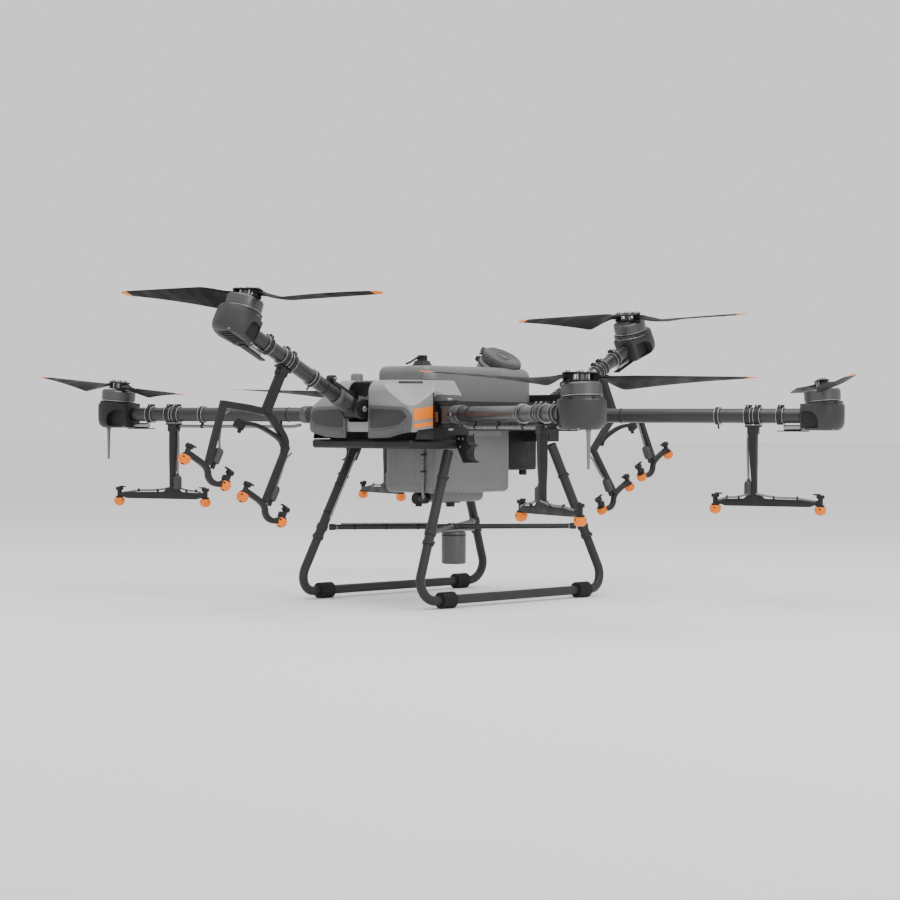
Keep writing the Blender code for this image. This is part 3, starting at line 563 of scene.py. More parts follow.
def blade(number, letter):
    """From its fold pin along +X: a twisted aerofoil with an orange tip, on an eye between the plates."""
    hand, reach, stations = TURNS[number], PROP_RADIUS - PROP_PIN, 44
    middle = (CLAMP_LOW + CLAMP_HIGH) / 2
    tip_start = reach - 0.031
    made = bmesh.new()
    rows = []
    for i in range(stations):
        share = i / (stations - 1)
        x = 0.012 + share * (reach - 0.012)
        if share < 0.2:
            chord = 0.020 + 0.070 * math.sin(share / 0.2 * math.pi / 2)
        else:
            chord = 0.090 - 0.064 * (share - 0.2) / 0.8
        if share > 0.95:
            chord *= 0.35 + 0.65 * math.sqrt(max(0, 1 - ((share - 0.95) / 0.05) ** 2))
        pitch = math.radians(22 - 18 * share)
        thick = 0.0085 * (1 - share) + 0.0022 + 0.004 * max(0, 1 - share / 0.06)
        row = []
        for along, above in BLADE_SECTION:
            y, z = (along + 0.06) * chord, above * thick
            row.append(made.verts.new((
                x, hand * (y * math.cos(pitch) - z * math.sin(pitch)),
                middle + (y - 0.56 * chord) * math.sin(pitch) * min(1,
                                                                    0.1 + share * 4.5) + z * math.cos(pitch))))
        rows.append(row)
    for near, far in zip(rows, rows[1:]):
        for j in range(len(near)):
            face = made.faces.new((near[j - 1], near[j], far[j], far[j - 1]))
            face.material_index = 1 if (near[j].co.x + far[j].co.x) / 2 > tip_start else 0
    made.faces.new(rows[0])
    made.faces.new(rows[-1]).material_index = 1
    bmesh.ops.recalc_face_normals(made, faces=made.faces)
    mesh = bpy.data.meshes.new("part")
    made.to_mesh(mesh)
    made.free()
    bm = bmesh.new()
    bm.from_mesh(mesh)
    bpy.data.meshes.remove(mesh)
    turned(bm, [(0.0043, CLAMP_LOW + 0.0006), (0.0115, CLAMP_LOW + 0.0006), (0.0122, CLAMP_LOW + 0.0014),
                (0.0122, CLAMP_HIGH - 0.0014), (0.0115, CLAMP_HIGH - 0.0006), (0.0043, CLAMP_HIGH - 0.0006)],
           look=0, sides=32)
    section = oblong(0.0095, 0.0046, 0.003)
    path = [(0.006, 0, middle), (0.016, 0, middle), (0.030, 0, middle)]
    sweep(bm, path, section, look=0, up=(0, 0, 1), scales=[1, 1, 0.75])
    piece(f"blade_{number}{letter}", bm, f"blade_{number}{letter}", ("blade", "orange"),
          blade_frame(number, letter), [f"blade_{number}{letter}"])


# Motor housings


def housing_outline(length, radius, half_back, height, steps=18):
    """Round outside the motor axis, then straight back to a narrower inner end with rounded corners."""
    back, corner = length - HOUSING_BACK, 0.014
    points = []
    for i in range(steps + 1):
        angle = math.radians(-96 + 192 * i / steps)
        points.append((length + radius * math.cos(angle), radius * math.sin(angle), height))
    for side in (1, -1):
        arc = [(back + corner - corner * math.sin(math.radians(a)),
                side * (half_back - corner + corner * math.cos(math.radians(a))), height)
               for a in (0, 22.5, 45, 67.5, 90)]
        points += arc if side == 1 else list(reversed(arc))
    return points


def carve(bm, cutters):
    """Cuts closed bmeshes out of a closed one."""
    holders = []
    for shape in (bm, *cutters):
        mesh = bpy.data.meshes.new("part")
        shape.to_mesh(mesh)
        shape.free()
        holders.append(bpy.data.objects.new("part", mesh))
        bpy.context.scene.collection.objects.link(holders[-1])
    body = holders[0]
    for cutter in holders[1:]:
        cut = body.modifiers.new("cut", "BOOLEAN")
        cut.operation, cut.object = "DIFFERENCE", cutter
    mesh = bpy.data.meshes.new_from_object(body.evaluated_get(bpy.context.evaluated_depsgraph_get()))
    made = bmesh.new()
    made.from_mesh(mesh)
    for holder in holders:
        old = holder.data
        bpy.data.objects.remove(holder)
        bpy.data.meshes.remove(old)
    bpy.data.meshes.remove(mesh)
    return made


def arch(length, grow=0.0):
    """The air scoop's outline in the housing's side: square towards the root, rounded outwards."""
    low, high, inner, outer = -0.0345 - grow, 0.013 + grow, length - 0.047 - grow, length + 0.004 + grow
    points = [(inner, low), (outer, low)]
    for i in range(9):
        angle = math.radians(90 * i / 8)
        points.append((outer - 0.030 + 0.030 * math.cos(angle), high - 0.030 + 0.030 * math.sin(angle)))
    points.append((inner, high))
    return rounded(points, 0.004, 2)


def motor_housing(number):
    length, place, look = arm_length(number), arm_frame(number), HOUSING_LOOKS_SHADE_PAINTED[number]
    top = 0.034 if number in SIDE_ARMS else 0.030
    bm = bmesh.new()
    levels = ((HOUSING_LOW, 0.042, 0.031), (HOUSING_LOW + 0.002, 0.0485, 0.036),
              (HOUSING_LOW + 0.006, 0.0545, 0.040),
              (HOUSING_LOW + 0.013, 0.0595, 0.043), (HOUSING_LOW + 0.024, 0.062, 0.0445), (0.0, 0.0625, 0.0445),
              (top - 0.004, 0.062, 0.0445), (top - 0.001, 0.0607, 0.0432), (top, 0.0585, 0.041))
    loft(bm, [housing_outline(length, radius, back, height) for height, radius, back in levels])
    upright = Matrix(((1, 0, 0, 0), (0, 0, -1, 0), (0, 1, 0, 0), (0, 0, 0, 1)))
    cutters = []
    for side in (-1, 1):
        cutter = bmesh.new()
        low, high = sorted((-side * SCOOP_HALF, -side * 0.080))
        plate(cutter, arch(length), low, high, 0, upright)
        cutters.append(cutter)
    under = bmesh.new()
    block(under, (length - 0.036, -0.026, HOUSING_LOW - 0.02), (length + 0.030, 0.026, HOUSING_LOW + 0.004),
          0.004,
          segments=3)
    bm = carve(bm, [*cutters, under])
    # The scoop's recess floor takes the darker plastic (look 3): painted shade in the recess, on a housing that is
    # one grey there.
    for face in bm.faces:
        painted_shade_floor = abs(abs(face.calc_center_median().y) - SCOOP_HALF) < 0.0004
        face.material_index = 3 if painted_shade_floor else 0
    for i in range(6):
        x = length - 0.031 + 0.0100 * i
        block(bm, (x, -0.0245, HOUSING_LOW + 0.001), (x + 0.004, 0.0245, HOUSING_LOW + 0.006), 0.0005, look=1)
    for x, y in ((0.044, 0.030), (0.044, -0.030), (-0.050, 0.036), (-0.050, -0.036)):
        screw(bm, (length + x * 0.86, y, HOUSING_LOW + 0.0052), (0, 0, -1), 0.0036, look=2)
    rotor = place.inverted() @ rotor_frame(number)
    turned(bm, [(0, -0.0205), (0.0545, -0.0205), (0.0553, -0.018), (0.0553, -0.0045), (0.0540, -0.0012),
                (0, -0.0012)],
           rotor, 0, 56)
    ring(bm, (0, 0, -0.0115), (0, 0, -0.0098), 0.053, 0.0562, 2, rotor, sides=56, chamfer=0.0004)
    for i in range(6):
        angle = 2 * math.pi * (i + 0.5) / 6
        block(bm, (0.0535, -0.004, -0.0075), (0.0568, 0.004, -0.0035), 0.0006,
              rotor @ Matrix.Rotation(angle, 4, "Z"), 1)
    rod(bm, (length - 0.110, 0, -0.034), (length - 0.060, 0, -0.034), 0.0085, 2, sides=20)
    plate(bm, rounded([(length - 0.128, -0.011), (length - 0.040, -0.014), (length - 0.040, 0.014),
                       (length - 0.128, 0.011)], 0.004), -0.0445, -0.0415, 0.0006, look=1)
    if number in (2, 3):
        turned(bm, [(0, -0.138), (0.0030, -0.1375), (0.0038, -0.134), (0.0050, -0.070), (0.0056, -0.050),
                    (0.0072, -0.043), (0.0072, -0.034), (0, -0.034)],
               Matrix.Translation((length + 0.036, 0, 0)), 4, 20)
    piece(f"motor_housing_{number}", bm, f"arm_{number}", (look, "black", "steel", "dark", "stub"),
          place,
          [f"motor_housing_{number}"])


# Arms


def collar(bm, start, end, gap=0.0, look=0, rim=1, lug=True):
    """A clamp ring round the tube, or two with a gap, with bright rims, lugs and screws on top."""
    spans = [(start, end)] if not gap else [(start, (start + end - gap) / 2), ((start + end + gap) / 2, end)]
    for low, high in spans:
        ring(bm, (low, 0, 0), (high, 0, 0), 0.0205, 0.0254, look)
        for edge in (low, high):
            ring(bm, (edge - 0.0008, 0, 0), (edge + 0.0008, 0, 0), 0.0215, 0.0259, rim, chamfer=0.0003)
    if gap:
        ring(bm, (start + 0.002, 0, 0), (end - 0.002, 0, 0), 0.0205, 0.0232, look)
    if lug:
        for low, high in spans:
            middle = (low + high) / 2
            for side in (-1, 1):
                block(bm, (low + 0.0015, side * 0.0065 - 0.003, 0.020),
                      (high - 0.0015, side * 0.0065 + 0.003, 0.0315),
                      0.0008, look=look)
            rod(bm, (middle, -0.0125, 0.027), (middle, 0.0115, 0.027), 0.0019, rim, sides=12)
            screw(bm, (middle, -0.0095, 0.027), (0, -1, 0), 0.0034, look=rim)


def arm(number):
    length, place, side_arm = arm_length(number), arm_frame(number), number in SIDE_ARMS
    body = f"arm_{number}"
    tube = bmesh.new()
    turned(tube, [(0.0192, 0.030), (0.0208, 0.030), (0.021, 0.0304), (0.021, length - 0.060),
                  (0.0192, length - 0.060)],
           aim((0, 0, 0), (1, 0, 0)), 0, 64)
    piece(f"arm_tube_{number}", tube, body, ("carbon",), place, [f"arm_{number}"])

    bm = bmesh.new()
    pin = aim((0, 0, 0), place.to_3x3().inverted() @ Vector(JOINTS[f"arm_{number}_fold"]["axis"]))
    turned(bm, [(0.0066, -0.0258), (0.0245, -0.0258), (0.026, -0.0243), (0.026, -0.019), (0.0240, -0.0175),
                (0.0240, 0.0175), (0.026, 0.019), (0.026, 0.0243), (0.0245, 0.0258), (0.0066, 0.0258)], pin, 0,
           44)
    sweep(bm, [(0.012, 0, 0), (0.024, 0, 0), (0.036, 0, 0)], oblong(0.0235, 0.0225, 0.012, 5), look=0,
          up=(0, 0, 1))
    profile = [(0.0195, 0.034)]
    for i in range(11):
        x = 0.036 + 0.0026 * i
        profile += [(0.0243, x), (0.0256, x + 0.0007), (0.0256, x + 0.0015), (0.0243, x + 0.0022)]
    profile += [(0.0256, 0.067), (0.0256, 0.079), (0.0246, 0.081), (0.0238, 0.085), (0.0195, 0.085)]
    turned(bm, profile, aim((0, 0, 0), (1, 0, 0)), 3, 48)
    if side_arm:
        block(bm, (0.040, -0.0305, -0.006), (0.076, -0.0245, 0.006), 0.0015, look=2)
        block(bm, (0.066, -0.0335, -0.0045), (0.096, -0.0285, 0.0045), 0.0015, look=2)
        rod(bm, (0.071, -0.026, 0.0), (0.071, -0.0355, 0.0), 0.004, 1, sides=16)
    else:
        plate(bm, rounded([(0.022, 0.018), (0.112, 0.018), (0.118, 0.025), (0.104, 0.031), (0.030, 0.031)],
                          0.004),
              -0.0125, 0.0125, 0.0012, Matrix(((1, 0, 0, 0), (0, 0, -1, 0), (0, 1, 0, 0), (0, 0, 0, 1))), 2)
        rod(bm, (0.118, -0.0125, 0.034), (0.118, 0.0125, 0.034), 0.0095, 2, sides=28)
        rod(bm, (0.118, -0.015, 0.034), (0.118, 0.015, 0.034), 0.0034, 1, sides=16)
        for x in (0.040, 0.070, 0.095):
            screw(bm, (x, 0, 0.0308), (0, 0, 1), 0.0035, look=1)
    ring(bm, (0.130, 0, 0), (0.1345, 0, 0), 0.0207, 0.0221, 2, chamfer=0.0004)
    collar(bm, length - 0.128, length - 0.110, look=2)
    collar(bm, length - POST_FROM_MOTOR - 0.0225, length - POST_FROM_MOTOR + 0.0225, 0.010, look=2)
    collar(bm, length - 0.310, length - 0.298, look=2, rim=1, lug=False)
    pipe(bm, [(length - 0.304, 0, -0.024), (length - 0.304, 0, -0.032), (length - 0.302, 0, -0.0375)], 0.0026,
         look=2)
    piece(f"arm_fittings_{number}", bm, body, ("mid" if side_arm else "dark", "steel", "dark", "alloy"),
          place)


def arm_hose(number):
    """The supply hose under the tube, in black loops, from behind the lock collar to the top of the post."""
    length, place = arm_length(number), arm_frame(number)
    post = length - POST_FROM_MOTOR
    bm = bmesh.new()
    points = [(0.092, 0, -0.0305), (0.110, 0, -0.034)]
    count = 6
    for i in range(count):
        share = i / (count - 1)
        points.append((0.130 + share * (post - 0.160), 0,
                       -0.0355 - 0.0012 * math.sin(5 * math.pi * share) ** 2))
    points += [(post - 0.015, 0, -0.036), (post - 0.002, 0, -0.037)]
    pipe(bm, points, 0.0049, look=0, up=(0, 1, 0))
    for share in (0.12, 0.45, 0.8):
        x = 0.110 + share * (post - 0.130)
        ring(bm, (x - 0.003, 0, -0.0358), (x + 0.003, 0, -0.0358), 0.0046, 0.0066, 1, sides=24, chamfer=0.0005)
        block(bm, (x - 0.003, -0.003, -0.0325), (x + 0.003, 0.003, -0.0205), 0.0008, look=1)
    rod(bm, (post - 0.022, 0, -0.036), (post - 0.010, 0, -0.0365), 0.0072, 1)
    piece(f"arm_hose_{number}", bm, f"arm_{number}", ("hose", "black"), place)


# Spray booms, in the arm's frame


def nozzle(bm, x, bar_z, cap_z, towards_bar):
    """A holder on the bar's end with a check valve on top and a cap below. Looks: 0 dark, 1 orange, 2 black."""
    place = Matrix.Translation((x, 0, cap_z))
    turned(bm, [(0, -0.0115), (0.0085, -0.0115), (0.0128, -0.0090), (0.0150, -0.0040), (0.0158, 0.0010),
                (0.0158, 0.0085), (0.0145, 0.0108), (0, 0.0108)], place, 1, 32)
    for i in range(8):
        spot = place @ Matrix.Rotation(2 * math.pi * (i + 0.5) / 8, 4, "Z")
        block(bm, (0.0146, -0.0015, -0.0035), (0.0163, 0.0015, 0.0075), 0.0005, spot, 1)
    for angle in (40, 160, 280):
        spot = place @ Matrix.Rotation(math.radians(angle), 4, "Z")
        block(bm, (0.0118, -0.0030, 0.0020), (0.0162, 0.0030, 0.0068), 0.0008, spot, 2)
    rod(bm, (x, 0, cap_z - 0.0128), (x, 0, cap_z - 0.010), 0.0055, 2, sides=20)
    rod(bm, (x, 0, cap_z + 0.009), (x, 0, cap_z + 0.0375), 0.0072, 0, sides=24)
    ring(bm, (x, 0, cap_z + 0.0112), (x, 0, cap_z + 0.0165), 0.006, 0.0118, 0, sides=28)
    rod(bm, (x, 0, cap_z + 0.0345), (x, 0, cap_z + 0.0445), 0.0115, 0, sides=28)
    ring(bm, (x, 0, cap_z + 0.0375), (x, 0, cap_z + 0.0395), 0.010, 0.0121, 2, sides=28, chamfer=0.0004)
    lever = sorted((x, x + towards_bar * 0.021))
    block(bm, (lever[0], -0.0042, cap_z + 0.0435), (lever[1], 0.0042, cap_z + 0.0478), 0.0014, look=0)
    near = sorted((x, x + towards_bar * 0.016))
    block(bm, (near[0], -0.0075, bar_z - 0.0075), (near[1], 0.0075, bar_z + 0.0075), 0.003, look=0)


def canister(bm, x, y, low, high, look):
    radius = 0.0125
    turned(bm, [(0, low), (radius - 0.003, low), (radius, low + 0.003), (radius, high - 0.005),
                (radius - 0.004, high),
                (0, high)], Matrix.Translation((x, y, 0)), look, 30)
    for z in (low + 0.010, low + 0.0185, low + 0.027):
        ring(bm, (x, y, z), (x, y, z + 0.002), radius - 0.001, radius + 0.0006, look, sides=30, chamfer=0.0004)


def side_boom(number):
    length, place = arm_length(number), arm_frame(number)
    post, bar = length - POST_FROM_MOTOR, length - BAR_FROM_MOTOR
    bm = bmesh.new()
    block(bm, (post - 0.0155, -0.0125, -0.052), (post + 0.0155, 0.0125, -0.0262), 0.002, look=0)
    block(bm, (post - 0.0225, -0.0135, -0.0318), (post + 0.0225, 0.0135, -0.0262), 0.0015, look=0)
    for dx in (-0.018, 0.018):
        screw(bm, (post + dx, 0, -0.0315), (0, 0, -1), 0.0032, look=3)
    heights = (-0.050, -0.070, -0.130, -0.180, -0.2065, -0.246)
    widths = (0.0118, 0.0118, 0.0100, 0.0078, 0.0068, 0.0068)
    shifts = (0.0, 0.0, 0.0015, 0.0035, 0.0045, 0.0045)
    loft(bm, [[(post + shift + a * width / 0.01, b * (0.0115 if width > 0.008 else 0.009) / 0.01, z)
               for a, b in oblong(0.01, 0.01, 0.003)]
              for z, width, shift in zip(heights, widths, shifts)])
    upright = Matrix(((1, 0, 0, 0), (0, 0, -1, 0), (0, 1, 0, 0), (0, 0, 0, 1)))
    half, deep = BOOM_HALF - 0.008, 0.0108
    outline = [(bar - half, -BOOM_DROP + deep * 0.7), (post - 0.026, -BOOM_DROP + deep),
               (post - 0.010, -BOOM_DROP + deep + 0.014),
               (post + 0.018, -BOOM_DROP + deep + 0.014), (post + 0.034, -BOOM_DROP + deep),
               (bar + half, -BOOM_DROP + deep * 0.7),
               (bar + half, -BOOM_DROP - 0.002), (bar + half - 0.022, -BOOM_DROP - deep),
               (bar - half + 0.022, -BOOM_DROP - deep),
               (bar - half, -BOOM_DROP - 0.002)]
    plate(bm, rounded(outline, 0.003, 2), -0.0085, 0.0085, 0.0015, upright, 0)
    inner = post - 0.0135
    canister(bm, inner, 0, -0.2275, -0.186, 4)
    rod(bm, (inner, 0, -0.240), (inner, 0, -0.226), 0.007, 0)
    rod(bm, (inner, 0, -0.187), (inner, 0, -0.180), 0.0055, 4)
    for side in (-1, 1):
        nozzle(bm, bar + side * BOOM_HALF, -BOOM_DROP, -BOOM_DROP - 0.021, -side)
    hose = [(post - 0.014, 0, -0.048), (post - 0.0165, 0, -0.075), (post - 0.0155, 0, -0.130),
            (inner, 0, -0.183)]
    pipe(bm, hose, 0.0034, look=5)
    for side in (-1, 1):
        end = bar + side * (BOOM_HALF - 0.012)
        start = post + side * 0.012
        pipe(bm, [(start, -0.010, -0.222), ((start * 2 + end) / 3, -0.0108, -0.2305),
                  ((start + end * 2) / 3, -0.0108, -0.2325),
                  (end, -0.008, -BOOM_DROP + 0.006)], 0.0030, look=5)
        for share in (0.3, 0.7):
            x = start + share * (end - start)
            block(bm, (x - 0.002, -0.0145, -0.2365), (x + 0.002, -0.0065, -0.2265), 0.0008, look=2)
    piece(f"spray_boom_{number}", bm, f"arm_{number}", ("dark", "orange", "black", "steel", "mid", "hose"),
          place, [f"spray_boom_{number}"])


BRANCH_DROP, BEAM_FRONT, BEAM_BACK, FOOT_FRONT, FOOT_BACK = 0.163, 0.140, -0.110, 0.112, -0.1105
BAR_PROFILE = ((0.070, 0.001), (0.020, -0.001), (-0.004, -0.008), (-0.018, -0.024), (-0.036, -0.030),
               (-0.058, -0.024), (-0.074, -0.008))


def double_boom(number):
    """A post forking into two legs, each with its own S-shaped bar, canister and two nozzles."""
    length, place = arm_length(number), arm_frame(number)
    post = length - POST_FROM_MOTOR
    bm = bmesh.new()
    block(bm, (post - 0.0225, -0.0135, -0.0318), (post + 0.0225, 0.0135, -0.0262), 0.0015, look=0)
    block(bm, (post - 0.014, -0.0132, -0.050), (post + 0.014, 0.0132, -0.0262), 0.002, look=0)
    up, beam = (0, 1, 0), oblong(0.0095, 0.0085, 0.002)
    sweep(bm, [(post, 0, -0.030), (post, 0, -0.100), (post, 0, -BRANCH_DROP - 0.004)],
          oblong(0.0115, 0.0115, 0.003), up=up)
    nose = 1 if number == 1 else -1
    straight = ((-0.008, 0.004), (0.060, -0.018), (BEAM_FRONT + 0.006, -0.051))
    curved = ((0.004, 0.002), (-0.032, -0.005), (-0.070, -0.020), (-0.097, -0.036), (BEAM_BACK, -0.064))
    sweep(bm, [(post + nose * x, 0, -BRANCH_DROP + z) for x, z in straight], beam, up=up)
    sweep(bm, smooth_path([(post + nose * x, 0, -BRANCH_DROP + z) for x, z in curved]), beam, up=up)
    for top, foot in ((BEAM_FRONT, FOOT_FRONT), (BEAM_BACK, FOOT_BACK)):
        top, foot = post + nose * top, post + nose * foot
        tip = (foot, 0, -DOUBLE_DROP + 0.004)
        start = (top, 0, -BEAM_DROP + 0.004)
        sweep(bm, [start, ((top + foot) / 2, 0, -(BEAM_DROP + DOUBLE_DROP) / 2), tip],
              oblong(0.0085, 0.0082, 0.002), up=up)
        bar = smooth_path([(foot + x, 0, -DOUBLE_DROP + z) for x, z in BAR_PROFILE], 4)
        sweep(bm, bar, oblong(0.0075, 0.0072, 0.002), up=up)
        canister(bm, foot - 0.0175, 0, -DOUBLE_DROP + 0.018, -DOUBLE_DROP + 0.060, 4)
        rod(bm, (foot - 0.0175, 0, -DOUBLE_DROP + 0.002), (foot - 0.0175, 0, -DOUBLE_DROP + 0.020), 0.0062, 0)
        pipe(bm, [(foot - 0.0175, 0, -DOUBLE_DROP + 0.058),
                  ((top + foot) / 2 - 0.017, 0, -(BEAM_DROP + DOUBLE_DROP) / 2),
                  (top - 0.014, 0, -BEAM_DROP - 0.030), (top - 0.024, 0, -BEAM_DROP - 0.004)], 0.0032, look=5)
        for side in (-1, 1):
            nozzle(bm, foot + side * DOUBLE_HALF, -DOUBLE_DROP, -DOUBLE_DROP - 0.020, -side)
    strap = smooth_path([(post + 0.070, 0, -0.2315), (post + 0.035, 0, -0.2155), (post, 0, -0.206),
                         (post - 0.045, 0, -0.2025), (post - 0.082, 0, -0.2045), (post - 0.100, 0, -0.216)], 5)
    sweep(bm, strap, oblong(0.0052, 0.0085, 0.002), look=2, up=up)
    block(bm, (post + 0.052, -0.010, -0.246), (post + 0.080, 0.010, -0.222), 0.0025, look=2)
    rod(bm, (post + 0.058, 0, -0.2545), (post + 0.058, 0, -0.240), 0.0055, 2)
    piece(f"spray_boom_{number}", bm, f"arm_{number}", ("dark", "orange", "black", "steel", "mid", "hose"),
          place, [f"spray_boom_{number}"])


# Landing gear


SKID_X, SKID_Y, SKID_Z, SKID_RADIUS, LEG_RADIUS = 0.250, 0.285, 0.023, 0.0132, 0.0142
SLEEVE_HALF, REAR_LEG_TOP = 0.026, 0.452
BRACE_Z, BRACE_RADIUS, BRACE_HUB, BRACE_SHORT = 0.2095, 0.0075, 0.020, 0.0206
SKID_BEND_TOP, SKID_BEND_END = 0.092, 0.328


def leg_point(side, end, height):
    share = (height - LEG_RING[2]) / (LEG_TOP[2] - LEG_RING[2])
    x, y = (ring_at + share * (top - ring_at) for ring_at, top in zip(LEG_RING[:2], LEG_TOP[:2]))
    return Vector((side * x, end * y, height))


def skid_bend(side, steps=18):
    """The arc between a leg's line and the ground run, as a conic through its two tangent points."""
    start, corner = leg_point(side, 1, SKID_BEND_TOP), leg_point(side, 1, SKID_Z)
    end = Vector((side * SKID_X, SKID_BEND_END, SKID_Z))
    weight = math.sin((start - corner).angle(end - corner) / 2)
    points = []
    for share in (step / steps for step in range(steps + 1)):
        parts = ((1 - share) ** 2, 2 * weight * share * (1 - share), share ** 2)
        points.append((start * parts[0] + corner * parts[1] + end * parts[2]) / sum(parts))
    return points


def tube_clamp(bm, centre, along, radius, width=0.020, towards=None, look=0, bolt=2):
    """A split ring round a leg, with its lug and screw on the side given."""
    centre, along = Vector(centre), Vector(along).normalized()
    ring(bm, centre - along * width / 2, centre + along * width / 2, radius - 0.0005, radius + 0.0024, look)
    if towards is not None:
        place = basis(centre, towards, along)
        for side in (-1, 1):
            block(bm, (radius + 0.001, side * 0.0030 - 0.0018, -width / 2 + 0.001),
                  (radius + 0.0075, side * 0.0030 + 0.0018, width / 2 - 0.001), 0.0006, place, look)
        rod(bm, (radius + 0.0048, -0.006, 0), (radius + 0.0048, 0.006, 0), 0.0014, bolt, place, sides=12)


def skid(side):
    bend = [leg_point(side, 1, LEG_RING[2] - 0.0004), leg_point(side, 1, 0.130), *skid_bend(side)]
    mirrored = [Vector((p.x, -p.y, p.z)) for p in bend]
    bm = bmesh.new()
    sweep(bm, [*mirrored, Vector((side * SKID_X, 0, SKID_Z)), *reversed(bend)], circle(SKID_RADIUS, 28), look=0,
          up=(1, 0, 0))
    profile = [(SKID_RADIUS - 0.0004, -SLEEVE_HALF), (0.0218, -SLEEVE_HALF), (0.0230, -SLEEVE_HALF + 0.0015)]
    for i in range(4):
        y = -0.018 + 0.0110 * i
        profile += [(0.0230, y), (0.0224, y + 0.0005), (0.0224, y + 0.0013), (0.0230, y + 0.0018)]
    profile += [(0.0230, SLEEVE_HALF - 0.0015), (0.0218, SLEEVE_HALF), (SKID_RADIUS - 0.0004, SLEEVE_HALF)]
    for end in (-1, 1):
        place = Matrix.Translation((side * SKID_X, end * SKID_Y, SKID_Z)) @ Matrix.Rotation(math.pi / 2, 4, "X")
        turned(bm, profile, place, 1, 40)
    name = "left" if side < 0 else "right"
    piece(f"skid_{name}", bm, "frame", ("leg", "rubber"), stands_for=[f"skid_{name}"])


def upper_leg(side, end):
    bm = bmesh.new()
    low = leg_point(side, end, LEG_RING[2] + 0.0004)
    top = leg_point(side, end, LEG_TOP[2] if end < 0 else REAR_LEG_TOP)
    rod(bm, low, top, LEG_RADIUS, 0, sides=32)
    tube_clamp(bm, leg_point(side, end, 0.1815), top - low, LEG_RADIUS, 0.0115, (side, 0, 0), bolt=1)
    tube_clamp(bm, leg_point(side, end, 0.360), top - low, LEG_RADIUS, 0.008, (side, 0, 0), bolt=1)
    if side < 0 and end < 0:
        cable = [leg_point(side, end, z) + Vector((LEG_RADIUS + 0.0026, 0, 0)) for z in (0.425, 0.38, 0.33,
                                                                                         0.28, 0.235)]
        pipe(bm, cable, 0.0020, look=2)
        for height in (0.250, 0.330, 0.405):
            ring(bm, leg_point(side, end, height), leg_point(side, end, height + 0.003), LEG_RADIUS - 0.0005,
                 LEG_RADIUS + 0.0014, 3, chamfer=0.0003)
    name = f"leg_{'front' if end < 0 else 'rear'}_{'left' if side < 0 else 'right'}"
    piece(name, bm, "frame", ("leg", "steel", "shell", "black"), stands_for=[name])


def brace(name, start, end):
    """A bar to a leg from another, or from the hub if start is None. A leg is (side, end)."""
    bm = bmesh.new()
    near = leg_point(*start, BRACE_Z) if start else Vector((0, 0, BRACE_Z))
    far = leg_point(*end, BRACE_Z)
    along = (far - near).normalized()
    first = near + along * (BRACE_SHORT if start else BRACE_HUB + 0.0004)
    last = far - along * BRACE_SHORT
    rod(bm, first, last, BRACE_RADIUS, 0, sides=28)
    for corner, tip, inward in ((start, first, along), (end, last, -along)):
        if corner:
            ring(bm, tip, tip + inward * 0.0175, BRACE_RADIUS - 0.0003, 0.0094, 0)
            ring(bm, tip + inward * 0.021, tip + inward * 0.0235, BRACE_RADIUS - 0.0003, 0.0086, 1)
            leg = (leg_point(*corner, 0.3) - leg_point(*corner, 0.2)).normalized() * 0.008
            middle = leg_point(*corner, BRACE_Z)
            ring(bm, middle - leg, middle + leg, LEG_RADIUS - 0.0004, LEG_RADIUS + 0.0026, 0)
    if start:
        rod(bm, (0, 0, BRACE_Z - 0.0068), (0, 0, BRACE_Z + 0.009), BRACE_HUB, 0, sides=40, chamfer=0.0015)
        for i in range(4):
            angle = math.pi / 4 + math.pi / 2 * i
            screw(bm, (0.013 * math.cos(angle), 0.013 * math.sin(angle), BRACE_Z + 0.0088), (0, 0, 1), 0.0028,
                  look=1)
        lift = Vector((0, 0, BRACE_RADIUS + 0.0022))
        line = [near.lerp(far, share) + lift for share in (0.07, 0.16, 0.25, 0.34, 0.42)]
        pipe(bm, line, 0.0024, look=2, up=(0, 0, 1))
        for share in (0.12, 0.24, 0.36):
            spot = near.lerp(far, share)
            ring(bm, spot, spot + along * 0.004, BRACE_RADIUS - 0.0003, BRACE_RADIUS + 0.0014, 3,
                 chamfer=0.0003)
    piece(name, bm, "frame", ("leg", "steel", "shell", "black"), stands_for=[name])


# The body


TRAY_HIGH = 0.466
COVER_HALF, COVER_FRONT, COVER_BACK, COVER_LOW, COVER_HIGH, COVER_ROUND = 0.212, 0.387, 0.135, 0.4665, 0.633, 0.035
TANK_HALF, TANK_FRONT, TANK_BACK, TANK_TOP = 0.104, 0.220, 0.232, 0.678
WINDOW_FRONT = 0.298


def dress(node, look):
    """A finer material on a CAD node that stays."""
    for socket in frame["nodes"][node].material_slots:
        socket.link = "OBJECT"
        socket.material = LOOKS[look]


def on_cover(run, height, out):
    """A point of the nose cover's wall: run is the way along it from the middle of the nose."""
    side, run = math.copysign(1, run), abs(run)
    flat, arc = COVER_HALF - COVER_ROUND, COVER_ROUND * math.pi / 2
    if run < flat:
        return Vector((side * run, -COVER_FRONT - out, height))
    if run < flat + arc:
        angle, reach = (run - flat) / COVER_ROUND, COVER_ROUND + out
        return Vector((side * (flat + reach * math.sin(angle)),
                       -COVER_FRONT + COVER_ROUND - reach * math.cos(angle), height))
    return Vector((side * (COVER_HALF + out), -COVER_FRONT + COVER_ROUND + run - flat - arc, height))


